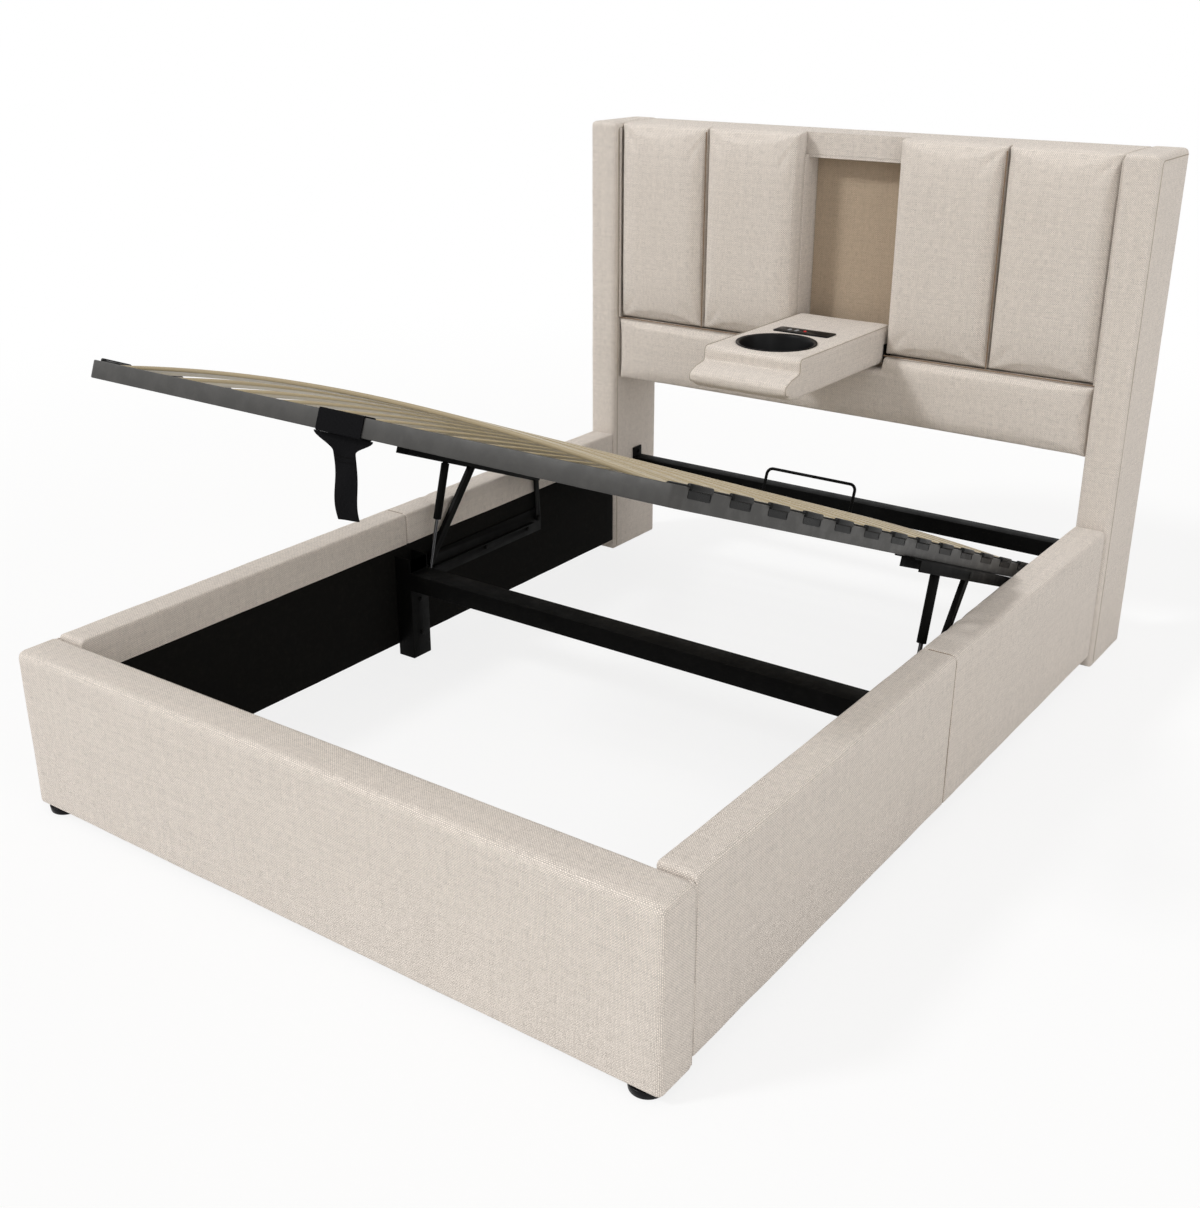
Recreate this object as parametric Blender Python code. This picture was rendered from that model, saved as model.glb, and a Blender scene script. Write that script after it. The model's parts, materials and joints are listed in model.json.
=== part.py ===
# Upholstered storage bed: a padded frame, a slat frame that lifts on two gas spring
# mechanisms, and a headboard with a folding armrest in its middle niche.
# Metres, +Z up. +X is to the right seen from the foot, +Y runs from foot to head.
# The origin is on the floor, in the middle of the bed's outline.

import math
import bpy
import bmesh
from mathutils import Vector

# Overall sizes
bed_length = 2.404
headboard_overhang = 0.008
headboard_height = 1.369
footboard_overhang = 0.0045
rail_outer_width = 1.697

# Clearances and shared small values
gap = 0.0003
cut_overrun = 0.02
running_gap = 0.0004
foot_face = -bed_length / 2
head_face = bed_length / 2

# Footboard
footboard_depth = 0.108
footboard_top = 0.398
footboard_bottom = 0.0167
footboard_side_radius = 0.016
footboard_top_radius = 0.024

# Side rails, each made of two halves
rail_thickness = 0.085
rail_top = 0.403
rail_bottom = 0.033
rail_outer_radius = 0.019
rail_inner_radius = 0.009
rail_end_radius = 0.006
padding = 0.008
least_radius = 0.003
core_recess = 0.002
lining_top = 0.315
lining_bottom = 0.032

# Headboard wings
wing_depth = 0.2424
wing_thickness = 0.0955
wing_radius = 0.018
core_floor_gap = 0.003
tie_inset = 0.030

# Headboard panel, measured down from its top and forward from its back
panel_top_drop = 0.003
panel_bottom = 0.583
panel_core_depth = 0.1687
channel_depth = 0.035
channel_crown = 0.032
lower_panel_depth = 0.050
lower_panel_crown = 0.015
cushion_edge_draw = 0.0022
channel_count_each_side = 2
channel_bottom = 0.778
lower_panel_gap = 0.003
cushion_seam = 0.0006

# Niche in the middle of the headboard
niche_half_width = 0.152
niche_back_from_back = 0.094
niche_board = 0.008
niche_floor = 0.7375
lintel_bottom_drop = 0.072
lintel_setback = 0.0195
lower_panel_notch_side_gap = 0.004

# Folding armrest, seen folded down
armrest_side_gap = 0.005
armrest_hinge_setback = 0.027
armrest_hinge_rise = 0.0395
armrest_reach = 0.583
armrest_top_rise = 0.080
armrest_bottom_drop = 0.027
armrest_lip_length = 0.075
armrest_shoulder_rise = 0.040
armrest_shoulder_radius = 0.008
armrest_lip_top_rise = 0.034
armrest_nose_rise = 0.008
armrest_nose_radius = 0.017
armrest_lip_run = 0.035
armrest_lip_under_drop = 0.022
armrest_tail = 0.035
armrest_tail_radius = 0.020
armrest_edge_radius = 0.014
armrest_side_radius = 0.008

# Cup insert in the armrest
cup_reach = 0.375
cup_rim_radius = 0.110
cup_rim_thickness = 0.003
cup_rim_width = 0.012
cup_wall = 0.003
cup_rim_drop = 0.012
cup_depth = 0.088
cup_taper = 0.012

# Charging plate with two ports and a push button
plate_reach = 0.217
plate_width = 0.172
plate_length = 0.056
plate_thickness = 0.003
plate_corner = 0.006
port_first_x = -0.046
port_pitch = 0.022
port_count = 2
port_width = 0.008
port_length = 0.0155
port_slot_width = 0.0050
port_slot_length = 0.0126
port_depth = 0.011
port_slot_depth = 0.0095
port_proud = 0.0006
button_x = 0.002
button_radius = 0.0045
button_face_radius = 0.0032
button_edge_drop = 0.0008
button_proud = 0.0022
button_stem = 0.006
pocket_margin = 0.0005

# Armrest hinge brackets
hinge_plate_thickness = 0.003
hinge_plate_front = 0.016
hinge_plate_back = 0.044
hinge_plate_rise = 0.030
hinge_plate_drop = 0.034
hinge_pin_radius = 0.004
hinge_pin_length = 0.011
hinge_hole_gap = 0.0004

# Feet and the beams under the slat frame
front_foot_radius = 0.0365
front_foot_base_radius = 0.0345
front_foot_inset_x = 0.050
front_foot_inset_y = 0.037
front_foot_chamfer = 0.003
mid_leg_width = 0.0558
mid_leg_depth = 0.070
mid_leg_before_seam = 0.056
mid_leg_top = 0.2562
saddle_plate = 0.004
saddle_top = 0.2957
mid_beam_height = 0.0502
mid_beam_seat = 0.001
rear_rail_front_from_head = 0.134
rear_rail_depth = 0.046
rear_rail_top = 0.297
rear_rail_height = 0.047
rear_bracket_plate = 0.005
rear_bracket_top = 0.328

# Slat frame, its insets measured from the headboard's back to the frame's head end
slat_frame_shortfall = 0.419
slat_frame_side_gap = 0.0295
frame_tube_width = 0.030
frame_tube_height = 0.038
cross_bar_width = 0.027
frame_corner_radius = 0.020
open_inset = 0.3485
open_height = 0.2971
open_tilt = math.radians(21.45)
closed_inset = 0.214

# Slats and their end holders
slat_count = 14
slat_width = 0.068
slat_thickness = 0.009
slat_crown = 0.045
slat_end_from_bar = 0.066
slat_end_recess = 0.034
slat_straight_end = 0.014
slat_edge_chamfer = 0.0025
slat_steps = 10
slat_end_depth = 0.0058
holder_depth = 0.0160
holder_proud = 0.0040
holder_side_wall = 0.0040
holder_inner_reach = 0.016
holder_outer_recess = 0.0025
holder_pocket_gap = 0.0003
holder_chamfer = 0.0025

# Mattress stop and pull strap
stop_half_width = 0.145
stop_height = 0.122
stop_rod_radius = 0.0045
stop_corner_radius = 0.018
strap_band_width = 0.114
strap_thickness = 0.0025
strap_tail_width = 0.057
strap_yoke_width = 0.150
strap_yoke_drop = 0.032
strap_tail_drop = 0.165
strap_wave = 0.006
strap_steps = 14

# Lifting mechanism, lengths from the slat frame's head end and across it
bracket_leg_gap = 0.0015
bracket_tab_length = 0.0405
bracket_plate = 0.003
bracket_outer_web_depth = 0.0277
bracket_inner_web_depth = 0.0240
bracket_inner_offset = 0.0245
bracket_outer_offset = 0.0227
bracket_link_notch = 0.035
bracket_end_margin = 0.022
pivot_drop = 0.053
gas_pivot_from_head = 0.790
arm_pivot_from_head = 0.644
link_pivot_from_head = 0.325
arm_foot_height = 0.245
link_foot_drop = 0.012
gas_foot_before_arm = 0.0365
gas_foot_drop = 0.055
arm_plate = 0.012
arm_width = 0.0226
link_plate = 0.004
link_width = 0.022
pivot_radius = 0.0047
pivot_hole_radius = 0.0051
pivot_head_radius = 0.009
pivot_head_thickness = 0.003
rivet_radius = 0.0072
rivet_head_thickness = 0.0015
spacer_radius = 0.0085

# Base plate of the mechanism
base_plate_thickness = 0.004
base_plate_leg_gap = 0.0008
base_plate_foot_margin = 0.0537
base_plate_head_margin = 0.024
base_plate_top_rise = 0.017
base_plate_depth = 0.076
base_plate_lobe_drop = 0.014
base_plate_lobe_length = 0.030
base_plate_lobe_slope = 0.034
base_flange_width = 0.008
base_flange_top_drop = 0.040
base_flange_start = 0.078
base_flange_end_gap = 0.018

# Gas springs
gas_cylinder_radius = 0.0113
gas_cylinder_length = 0.172
gas_cylinder_start = 0.014
gas_cylinder_cap = 0.006
gas_rod_radius = 0.005
gas_rod_insert = 0.010
gas_eye_radius = 0.008
gas_eye_half_width = 0.0058
gas_neck_radius = 0.0045
gas_stud_radius = 0.0037
gas_layer_inset = 0.0265
gas_spacer_radius = 0.006

# Bolt heads
bolt_head_radius = 0.0065
bolt_head_thickness = 0.0040
base_bolt_drop = 0.015
base_bolt_shares = (0.135, 0.54, 0.885)
rear_bolt_height = 0.312
rear_bolt_back_share = 0.60
leg_bolt_heights = (0.070, 0.170)

# Number of sides on round pieces, and of cells across and up a cushion
channel_grid = (12, 14)
lower_panel_grid = (22, 8)
fine_sides = 32
round_sides = 14
small_sides = 10
corner_steps = 4
rail_end_steps = 2
plate_corner_steps = 2
armrest_side_steps = 3
bar_end_steps = 8
bolt_sides = 6

# Edges sharper than these angles are drawn sharp, the rest smooth
edge_angle = math.radians(40)
cushion_edge_angle = math.radians(50)

# Places worked out from the sizes above
rail_outer = rail_outer_width / 2
rail_inner = rail_outer - rail_thickness
footboard_half = rail_outer + footboard_overhang
footboard_back = foot_face + footboard_depth
wing_front = head_face - wing_depth
wing_outer = rail_outer + headboard_overhang
wing_inner = wing_outer - wing_thickness
rail_start = footboard_back + gap
rail_end = wing_front - gap
core_front = head_face - panel_core_depth
cushion_back = core_front - gap
lower_panel_front = cushion_back - lower_panel_depth
channel_front = cushion_back - channel_depth
panel_half = wing_inner - gap
armrest_hinge_y = lower_panel_front + armrest_hinge_setback
niche_back = head_face - niche_back_from_back
lintel_front = core_front + lintel_setback
mid_leg_outer = rail_inner - gap
mid_leg_inner = mid_leg_outer - mid_leg_width

panel_top = headboard_height - panel_top_drop
lower_panel_top = channel_bottom - lower_panel_gap
lintel_bottom = headboard_height - lintel_bottom_drop
armrest_half_width = niche_half_width - armrest_side_gap
armrest_hinge_height = niche_floor + armrest_hinge_rise
armrest_shoulder_reach = armrest_reach - armrest_lip_length
cup_radius = cup_rim_radius - cup_rim_width
cup_floor_radius = cup_radius - cup_taper
slat_frame_length = bed_length - slat_frame_shortfall
slat_frame_half_width = rail_inner - slat_frame_side_gap
slat_half_length = slat_frame_half_width - slat_end_recess
gas_pivot_along = slat_frame_length - gas_pivot_from_head
arm_pivot_along = slat_frame_length - arm_pivot_from_head
link_pivot_along = slat_frame_length - link_pivot_from_head
link_foot_height = arm_foot_height - link_foot_drop
gas_foot_height = arm_foot_height - gas_foot_drop
base_plate_top = arm_foot_height + base_plate_top_rise
base_plate_bottom = base_plate_top - base_plate_depth
base_plate_lobe_bottom = base_plate_bottom - base_plate_lobe_drop
base_flange_top = base_plate_top - base_flange_top_drop

# Layers of the right-hand mechanism across the bed, from the rail inwards
base_web_outer = rail_inner - gap
base_web_inner = base_web_outer - base_plate_thickness
bracket_outer = slat_frame_half_width + bracket_outer_offset
bracket_outer_web = bracket_outer - bracket_plate
bracket_inner = slat_frame_half_width - bracket_inner_offset
bracket_inner_web = bracket_inner + bracket_plate
bar_outer = bracket_outer_web - gap
arm_inner = bar_outer - arm_plate
link_inner = bar_outer - link_plate
gas_layer = bar_outer - gas_layer_inset

# Poses of the slat frame: lifted as it stands, and lowered onto the saddles
closed_height = saddle_top + gap + frame_tube_height
open_foot = (head_face - open_inset - slat_frame_length * math.cos(open_tilt),
             open_height + slat_frame_length * math.sin(open_tilt))
closed_foot = (head_face - closed_inset - slat_frame_length, closed_height)


def on_slat_frame(foot, tilt, along, drop):
    """Place (y, z) of a point on the slat frame at a given pose."""
    y = foot[0] + along * math.cos(tilt) - drop * math.sin(tilt)
    z = foot[1] - along * math.sin(tilt) - drop * math.cos(tilt)
    return Vector((y, z))


def foot_pivot(raised, lowered, height):
    """Fixed pivot at a height that lies as far from both places of the moving pivot."""
    middle = (raised + lowered) / 2
    travel = lowered - raised
    across = Vector((-travel.y, travel.x))
    return middle + across * ((height - middle.y) / across.y)


def turn_of(start, end):
    """Angle of the line from start to end, up from +Y."""
    return math.atan2(end.y - start.y, end.x - start.x)


arm_top_open = on_slat_frame(open_foot, open_tilt, arm_pivot_along, pivot_drop)
arm_top_closed = on_slat_frame(closed_foot, 0, arm_pivot_along, pivot_drop)
link_top_open = on_slat_frame(open_foot, open_tilt, link_pivot_along, pivot_drop)
link_top_closed = on_slat_frame(closed_foot, 0, link_pivot_along, pivot_drop)
gas_top_open = on_slat_frame(open_foot, open_tilt, gas_pivot_along, pivot_drop)
arm_foot = foot_pivot(arm_top_open, arm_top_closed, arm_foot_height)
link_foot = foot_pivot(link_top_open, link_top_closed, link_foot_height)
gas_foot = Vector((arm_foot.x - gas_foot_before_arm, gas_foot_height))
arm_turn = turn_of(arm_foot, arm_top_open)
link_turn = turn_of(link_foot, link_top_open)
gas_turn = turn_of(gas_foot, gas_top_open)
gas_length_open = (gas_top_open - gas_foot).length

# Places that follow from the pivots
base_plate_start = arm_foot.x - base_plate_foot_margin
base_plate_end = link_foot.x + base_plate_head_margin
mid_leg_back = base_plate_start - base_plate_leg_gap
mid_leg_front = mid_leg_back - mid_leg_depth
rail_seam = mid_leg_front + mid_leg_before_seam
bracket_tab_start = mid_leg_back + bracket_leg_gap - closed_foot[0]
bracket_web_start = bracket_tab_start + bracket_tab_length


# Materials
def finish(name, colour, roughness, metallic=0.0):
    material = bpy.data.materials.new(name)
    material.use_nodes = True
    shader = material.node_tree.nodes["Principled BSDF"]
    shader.inputs["Base Color"].default_value = (*colour, 1.0)
    shader.inputs["Roughness"].default_value = roughness
    shader.inputs["Metallic"].default_value = metallic
    material.diffuse_color = (*colour, 1.0)
    return material


def make_finishes():
    return {
        "linen": finish("linen", (0.66, 0.59, 0.51), 0.90),
        "timber": finish("timber", (0.58, 0.44, 0.28), 0.75),
        "black_lining": finish("black_lining", (0.012, 0.011, 0.010), 0.85),
        "slat_wood": finish("slat_wood", (0.56, 0.48, 0.33), 0.50),
        "grey_steel": finish("grey_steel", (0.060, 0.060, 0.060), 0.45, 0.4),
        "black_steel": finish("black_steel", (0.012, 0.012, 0.013), 0.40, 0.6),
        "bright_steel": finish("bright_steel", (0.55, 0.55, 0.56), 0.22, 1.0),
        "black_plastic": finish("black_plastic", (0.010, 0.010, 0.011), 0.38),
        "port_grey": finish("port_grey", (0.36, 0.36, 0.37), 0.45),
        "button_red": finish("button_red", (0.55, 0.020, 0.022), 0.35),
        "webbing": finish("webbing", (0.014, 0.014, 0.016), 0.85),
    }


# Mesh helpers
def clear_scene():
    for item in list(bpy.data.objects):
        bpy.data.objects.remove(item, do_unlink=True)


def empty(name, location, turn=0.0):
    """A guide on a joint's axis, turned about X."""
    item = bpy.data.objects.new(name, None)
    item.location = location
    item.rotation_euler = (turn, 0, 0)
    bpy.context.collection.objects.link(item)
    return item


def add_object(name, shape, material=None, parent=None, smooth_angle=None):
    bmesh.ops.recalc_face_normals(shape, faces=shape.faces)
    mesh = bpy.data.meshes.new(name)
    shape.to_mesh(mesh)
    shape.free()
    if smooth_angle:
        mesh.shade_smooth()
        mesh.set_sharp_from_angle(angle=smooth_angle)
    item = bpy.data.objects.new(name, mesh)
    bpy.context.collection.objects.link(item)
    if material:
        mesh.materials.append(material)
    item.parent = parent
    return item


def add_box(shape, x, y, z):
    """A box between pairs of coordinates, added to a mesh in the making."""
    made = bmesh.ops.create_cube(shape, size=1)["verts"]
    size = Vector((x[1] - x[0], y[1] - y[0], z[1] - z[0]))
    middle = Vector((x[0] + x[1], y[0] + y[1], z[0] + z[1])) / 2
    for vert in made:
        vert.co = Vector(a * b for a, b in zip(vert.co, size)) + middle
    return made


def add_loft(shape, sections):
    """Skin over rings with the same number of points, closed by a face at each end."""
    rings = [[shape.verts.new(point) for point in section] for section in sections]
    for ring, following in zip(rings, rings[1:]):
        for i in range(len(ring)):
            j = (i + 1) % len(ring)
            shape.faces.new((ring[i], ring[j], following[j], following[i]))
    shape.faces.new(rings[0])
    shape.faces.new(rings[-1])
    return rings


def add_prism(shape, outline, x):
    """A (y, z) outline extruded between two x places."""
    return add_loft(shape, [[(place, y, z) for y, z in outline] for place in x])


def add_rod(shape, centre, axis, span, radius, sides):
    """A round bar along one axis: centre holds the other two coordinates, in order."""
    others = [i for i in range(3) if i != axis]
    sections = []
    for place in span:
        ring = []
        for i in range(sides):
            angle = 2 * math.pi * i / sides
            point = [0, 0, 0]
            point[axis] = place
            point[others[0]] = centre[0] + radius * math.cos(angle)
            point[others[1]] = centre[1] + radius * math.sin(angle)
            ring.append(point)
        sections.append(ring)
    return add_loft(shape, sections)


def add_turned(shape, centre, profile, sides):
    """A (radius, z) profile turned about a vertical line; a zero radius makes a pole."""
    rings = []
    for radius, height in profile:
        if radius == 0:
            rings.append([shape.verts.new((centre[0], centre[1], height))])
            continue
        ring = []
        for i in range(sides):
            angle = 2 * math.pi * i / sides
            x = centre[0] + radius * math.cos(angle)
            y = centre[1] + radius * math.sin(angle)
            ring.append(shape.verts.new((x, y, height)))
        rings.append(ring)
    for ring, following in zip(rings, rings[1:]):
        for i in range(sides):
            j = (i + 1) % sides
            corners = [ring[i % len(ring)], ring[j % len(ring)]]
            corners += [following[j % len(following)], following[i % len(following)]]
            shape.faces.new(list(dict.fromkeys(corners)))


def arc(centre, radius, start, end, steps=corner_steps):
    """Points on a round stretch of an outline, angles in degrees."""
    points = []
    for i in range(steps + 1):
        angle = math.radians(start + (end - start) * i / steps)
        points.append((centre[0] + radius * math.cos(angle), centre[1] + radius * math.sin(angle)))
    return points


def rounded_outline(u, v, radii, steps=corner_steps):
    """A rectangle in two coordinates with a radius at each corner, from low u and v."""
    corners = ((0, 0, 180), (1, 0, 270), (1, 1, 0), (0, 1, 90))
    points = []
    for (i, j, start), radius in zip(corners, radii):
        if radius == 0:
            points.append((u[i], v[j]))
            continue
        inward_u = radius if i == 0 else -radius
        inward_v = radius if j == 0 else -radius
        points += arc((u[i] + inward_u, v[j] + inward_v), radius, start, start + 90, steps)
    return points


def ease_in(radius, steps=corner_steps):
    """(inset, distance from the end) pairs of a rounded end, from the end inwards."""
    turns = [math.pi / 2 * i / steps for i in range(steps + 1)]
    return [(radius * (1 - math.sin(turn)), radius * (1 - math.cos(turn))) for turn in turns]


def add_padded_block(shape, x, y, z, radius, top_radius, least):
    """Upright block with rounded corners and a rounded top; its foot is left square."""
    def ring(inset, height):
        corner = (max(radius - inset, least),) * 4
        outline = rounded_outline((x[0] + inset, x[1] - inset), (y[0] + inset, y[1] - inset), corner)
        return [(a, b, height) for a, b in outline]

    sections = [ring(0, z[0])]
    for inset, drop in reversed(ease_in(top_radius)):
        sections.append(ring(inset, z[1] - drop))
    return add_loft(shape, sections)


def drawn_in(outline, amount):
    """A closed (u, v) outline, listed clockwise, with each side moved inwards."""
    points = []
    for i in range(len(outline)):
        before, here, after = (Vector(outline[(i + k) % len(outline)]) for k in (-1, 0, 1))
        arriving = (here - before).normalized()
        leaving = (after - here).normalized()
        inwards = Vector((arriving.y + leaving.y, -arriving.x - leaving.x))
        points.append(here + inwards * amount / (1 + arriving.dot(leaving)))
    return points


def grown(pair, amount):
    return pair[0] - amount, pair[1] + amount


def bevel_edges(shape, chosen, width, steps):
    bmesh.ops.bevel(shape, geom=[edge for edge in shape.edges if chosen(edge)], offset=width,
                    segments=steps, profile=0.5, affect="EDGES")


def box_object(name, x, y, z, material, parent=None):
    shape = bmesh.new()
    add_box(shape, x, y, z)
    return add_object(name, shape, material, parent)


def combine(target, shape, operation, parent=None):
    """Cut a hidden tool out of an object, or join it to the object."""
    tool = add_object(target.name + "_tool", shape, None, parent)
    tool.hide_render = True
    tool.display_type = "WIRE"
    modifier = target.modifiers.new(operation.lower(), "BOOLEAN")
    modifier.operation = operation
    modifier.object = tool
    return tool


def cut_box(target, x, y, z, parent=None):
    shape = bmesh.new()
    add_box(shape, x, y, z)
    return combine(target, shape, "DIFFERENCE", parent)


def cut_rod(target, centre, axis, span, radius, sides, parent=None):
    shape = bmesh.new()
    add_rod(shape, centre, axis, span, radius, sides)
    return combine(target, shape, "DIFFERENCE", parent)


def mirrored(side, low, high):
    """A pair of x coordinates on the right, or the same pair turned to the left."""
    return (low, high) if side > 0 else (-high, -low)


sides_of_bed = (("left", -1), ("right", 1))


# Footboard
def make_padded_cover(name, x, y, z, radius, top_radius, looks):
    """Foam and fabric over a block, open at the bottom."""
    shape = bmesh.new()
    add_padded_block(shape, x, y, z, radius, top_radius, least_radius)
    cover = add_object(name, shape, looks["linen"], None, edge_angle)
    room = bmesh.new()
    add_padded_block(room, grown(x, -padding), grown(y, -padding), (z[0] - cut_overrun, z[1] - padding),
                     radius - padding, top_radius - padding, least_radius)
    combine(cover, room, "DIFFERENCE")
    return cover


def add_padded_core(shape, x, y, z, radius, top_radius):
    """Block that fills a padded cover with a clearance all round."""
    inset = padding + gap
    add_padded_block(shape, grown(x, -inset), grown(y, -inset), (z[0], z[1] - inset),
                     radius - inset, top_radius - inset, least_radius)


def make_footboard(looks):
    half = footboard_half
    x = (-half, half)
    y = (foot_face, footboard_back)
    make_padded_cover("footboard_cover", x, y, (footboard_bottom, footboard_top),
                      footboard_side_radius, footboard_top_radius, looks)
    shape = bmesh.new()
    add_padded_core(shape, x, y, (footboard_bottom + core_recess, footboard_top),
                    footboard_side_radius, footboard_top_radius)
    add_object("footboard_core", shape, looks["timber"], None, edge_angle)


# Side rails
def rail_ring(side, y, inset):
    """Cross-section of a rail at one place, drawn in by an inset near its ends."""
    radii = (0, 0, rail_outer_radius - inset, rail_inner_radius - inset)
    outline = rounded_outline((rail_inner + inset, rail_outer - inset),
                              (rail_bottom + inset, rail_top - inset), radii)
    return [(side * x, y, z) for x, z in outline]


def add_rail_block(shape, side, inset, start, end, bottom):
    """Rail cross-section taken in by an inset and cut square at the ends and the bottom."""
    radii = (0, 0, rail_outer_radius - inset, rail_inner_radius - inset)
    outline = rounded_outline((rail_inner + inset, rail_outer - inset), (bottom, rail_top - inset), radii)
    add_loft(shape, [[(side * x, y, z) for x, z in outline] for y in (start, end)])


def make_rail_cover(side, label, start, end, looks):
    """Half of a rail's cover: it wraps over the top of the core and down to the lining."""
    side_name = "left" if side < 0 else "right"
    eased = ease_in(rail_end_radius, rail_end_steps)
    sections = [rail_ring(side, start + drop, inset) for inset, drop in eased]
    sections += [rail_ring(side, end - drop, inset) for inset, drop in reversed(eased)]
    shape = bmesh.new()
    add_loft(shape, sections)
    cover = add_object(f"rail_cover_{side_name}_{label}", shape, looks["linen"], None,
                       edge_angle)
    room_start = start + padding if label == "foot" else start - cut_overrun
    room_end = end + cut_overrun if label == "foot" else end - padding
    room = bmesh.new()
    add_rail_block(room, side, padding, room_start, room_end, -cut_overrun)
    combine(cover, room, "DIFFERENCE")
    lining_x = mirrored(side, rail_inner - cut_overrun, rail_inner + padding + gap)
    cut_box(cover, lining_x, (start - cut_overrun, end + cut_overrun), (-cut_overrun, lining_top))


def make_rail_core(side, side_name, looks):
    shape = bmesh.new()
    inset = padding + gap
    add_rail_block(shape, side, inset, rail_start + inset, rail_end - inset, rail_bottom + core_recess)
    add_object(f"rail_core_{side_name}", shape, looks["timber"], None, edge_angle)
    box_object(f"rail_lining_{side_name}", mirrored(side, rail_inner, rail_inner + padding),
               (rail_start, rail_end), (lining_bottom, lining_top - gap), looks["black_lining"])


def make_rails(looks):
    for side_name, side in sides_of_bed:
        make_rail_cover(side, "foot", rail_start, rail_seam - gap, looks)
        make_rail_cover(side, "head", rail_seam + gap, rail_end, looks)
        make_rail_core(side, side_name, looks)


# Headboard wings, which stand on the floor
def make_wings(looks):
    tie_y, tie_z = tie_span()
    for side_name, side in sides_of_bed:
        x = mirrored(side, wing_inner, wing_outer)
        cover = make_padded_cover(f"wing_cover_{side_name}", x, (wing_front, head_face),
                                  (0, headboard_height), wing_radius, wing_radius, looks)
        through = mirrored(side, wing_inner - cut_overrun, wing_inner + padding + gap)
        cut_box(cover, through, grown(tie_y, gap), grown(tie_z, gap))


# Headboard panel
def tie_span():
    """Depth and height of the tie that joins the panel to the posts through the wing covers."""
    return ((core_front + tie_inset, head_face - tie_inset),
            (panel_bottom + tie_inset, panel_top - tie_inset))


def make_headboard_frame(looks):
    """Timber panel with the niche cut out of it, tied to a post in each wing."""
    inset = padding + gap
    frame = box_object("headboard_frame", (-panel_half, panel_half), (core_front, head_face - inset),
                       (panel_bottom + inset, panel_top - inset), looks["timber"])
    tie_y, tie_z = tie_span()
    reach = wing_inner + inset + tie_inset
    tie = bmesh.new()
    add_box(tie, (-reach, reach), tie_y, tie_z)
    combine(frame, tie, "UNION")
    posts = bmesh.new()
    for side_name, side in sides_of_bed:
        add_padded_core(posts, mirrored(side, wing_inner, wing_outer), (wing_front, head_face),
                        (core_floor_gap, headboard_height), wing_radius, wing_radius)
    combine(frame, posts, "UNION")
    niche_side = niche_half_width + niche_board + gap
    front = core_front - cut_overrun
    cut_box(frame, (-niche_side, niche_side), (front, niche_back + niche_board + gap),
            (niche_floor - niche_board - gap, lintel_bottom + niche_board + gap))
    cut_box(frame, (-niche_side, niche_side), (front, lintel_front + niche_board + gap),
            (lintel_bottom, panel_top + cut_overrun))


def make_back_cover(looks):
    """Fabric over the top, the back and the underside of the headboard panel."""
    low = (panel_bottom, panel_bottom + padding)
    high = (panel_top - padding, panel_top)
    back = (head_face - padding, head_face)
    outline = [(core_front, high[1]), (back[1], high[1]), (back[1], low[0]), (core_front, low[0]),
               (core_front, low[1]), (back[0], low[1]), (back[0], high[0]), (core_front, high[0])]
    shape = bmesh.new()
    add_prism(shape, outline, (-panel_half, panel_half))
    cover = add_object("headboard_back_cover", shape, looks["linen"])
    niche_side = niche_half_width + niche_board + gap
    cut_box(cover, (-niche_side, niche_side), (core_front - cut_overrun, lintel_front + niche_board + gap),
            (lintel_bottom, panel_top + cut_overrun))


def make_niche(looks):
    """Fabric-covered box behind the armrest, with a lintel set back above its opening."""
    wide = niche_half_width + niche_board
    back = niche_back + niche_board
    ceiling = lintel_bottom + niche_board
    outline = [(core_front, niche_floor - niche_board), (back, niche_floor - niche_board), (back, ceiling),
               (lintel_front + niche_board, ceiling), (lintel_front + niche_board, panel_top),
               (core_front, panel_top)]
    shape = bmesh.new()
    add_prism(shape, outline, (-wide, wide))
    box = add_object("niche_lining", shape, looks["linen"])
    front = core_front - cut_overrun
    above = panel_top + cut_overrun
    outline = [(front, niche_floor), (niche_back, niche_floor), (niche_back, lintel_bottom),
               (lintel_front, lintel_bottom), (lintel_front, above), (front, above)]
    room = bmesh.new()
    add_prism(room, outline, (-niche_half_width, niche_half_width))
    combine(box, room, "DIFFERENCE")


def crowned_cushion(shape, x, z, front_edge, crown, grid):
    """Padded block: a crowned front, edges drawn in between the corners, a flat back."""
    half = Vector(((x[1] - x[0]) / 2, (z[1] - z[0]) / 2))
    middle = Vector(((x[0] + x[1]) / 2, (z[0] + z[1]) / 2))
    columns, rows = grid

    def place(i, j):
        u = math.sin(math.pi * (i / columns - 0.5))
        v = math.sin(math.pi * (j / rows - 0.5))
        drawn_x = half.x - cushion_edge_draw * (1 - v * v)
        drawn_z = half.y - cushion_edge_draw * (1 - u * u)
        swell = math.sqrt(1 - u ** 4) * math.sqrt(1 - v ** 4)
        return middle.x + u * drawn_x, middle.y + v * drawn_z, front_edge - crown * swell

    front = []
    for i in range(columns + 1):
        front.append([])
        for j in range(rows + 1):
            across, up, depth = place(i, j)
            front[i].append(shape.verts.new((across, depth, up)))
    for i in range(columns):
        for j in range(rows):
            corners = (front[i][j], front[i + 1][j], front[i + 1][j + 1], front[i][j + 1])
            shape.faces.new(corners)
    rim = [front[i][0] for i in range(columns)]
    rim += [front[columns][j] for j in range(rows)]
    rim += [front[i][rows] for i in range(columns, 0, -1)]
    rim += [front[0][j] for j in range(rows, 0, -1)]
    rear = [shape.verts.new((vert.co.x, cushion_back, vert.co.z)) for vert in rim]
    for i in range(len(rim)):
        j = (i + 1) % len(rim)
        shape.faces.new((rim[j], rim[i], rear[i], rear[j]))
    shape.faces.new(rear)


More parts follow.
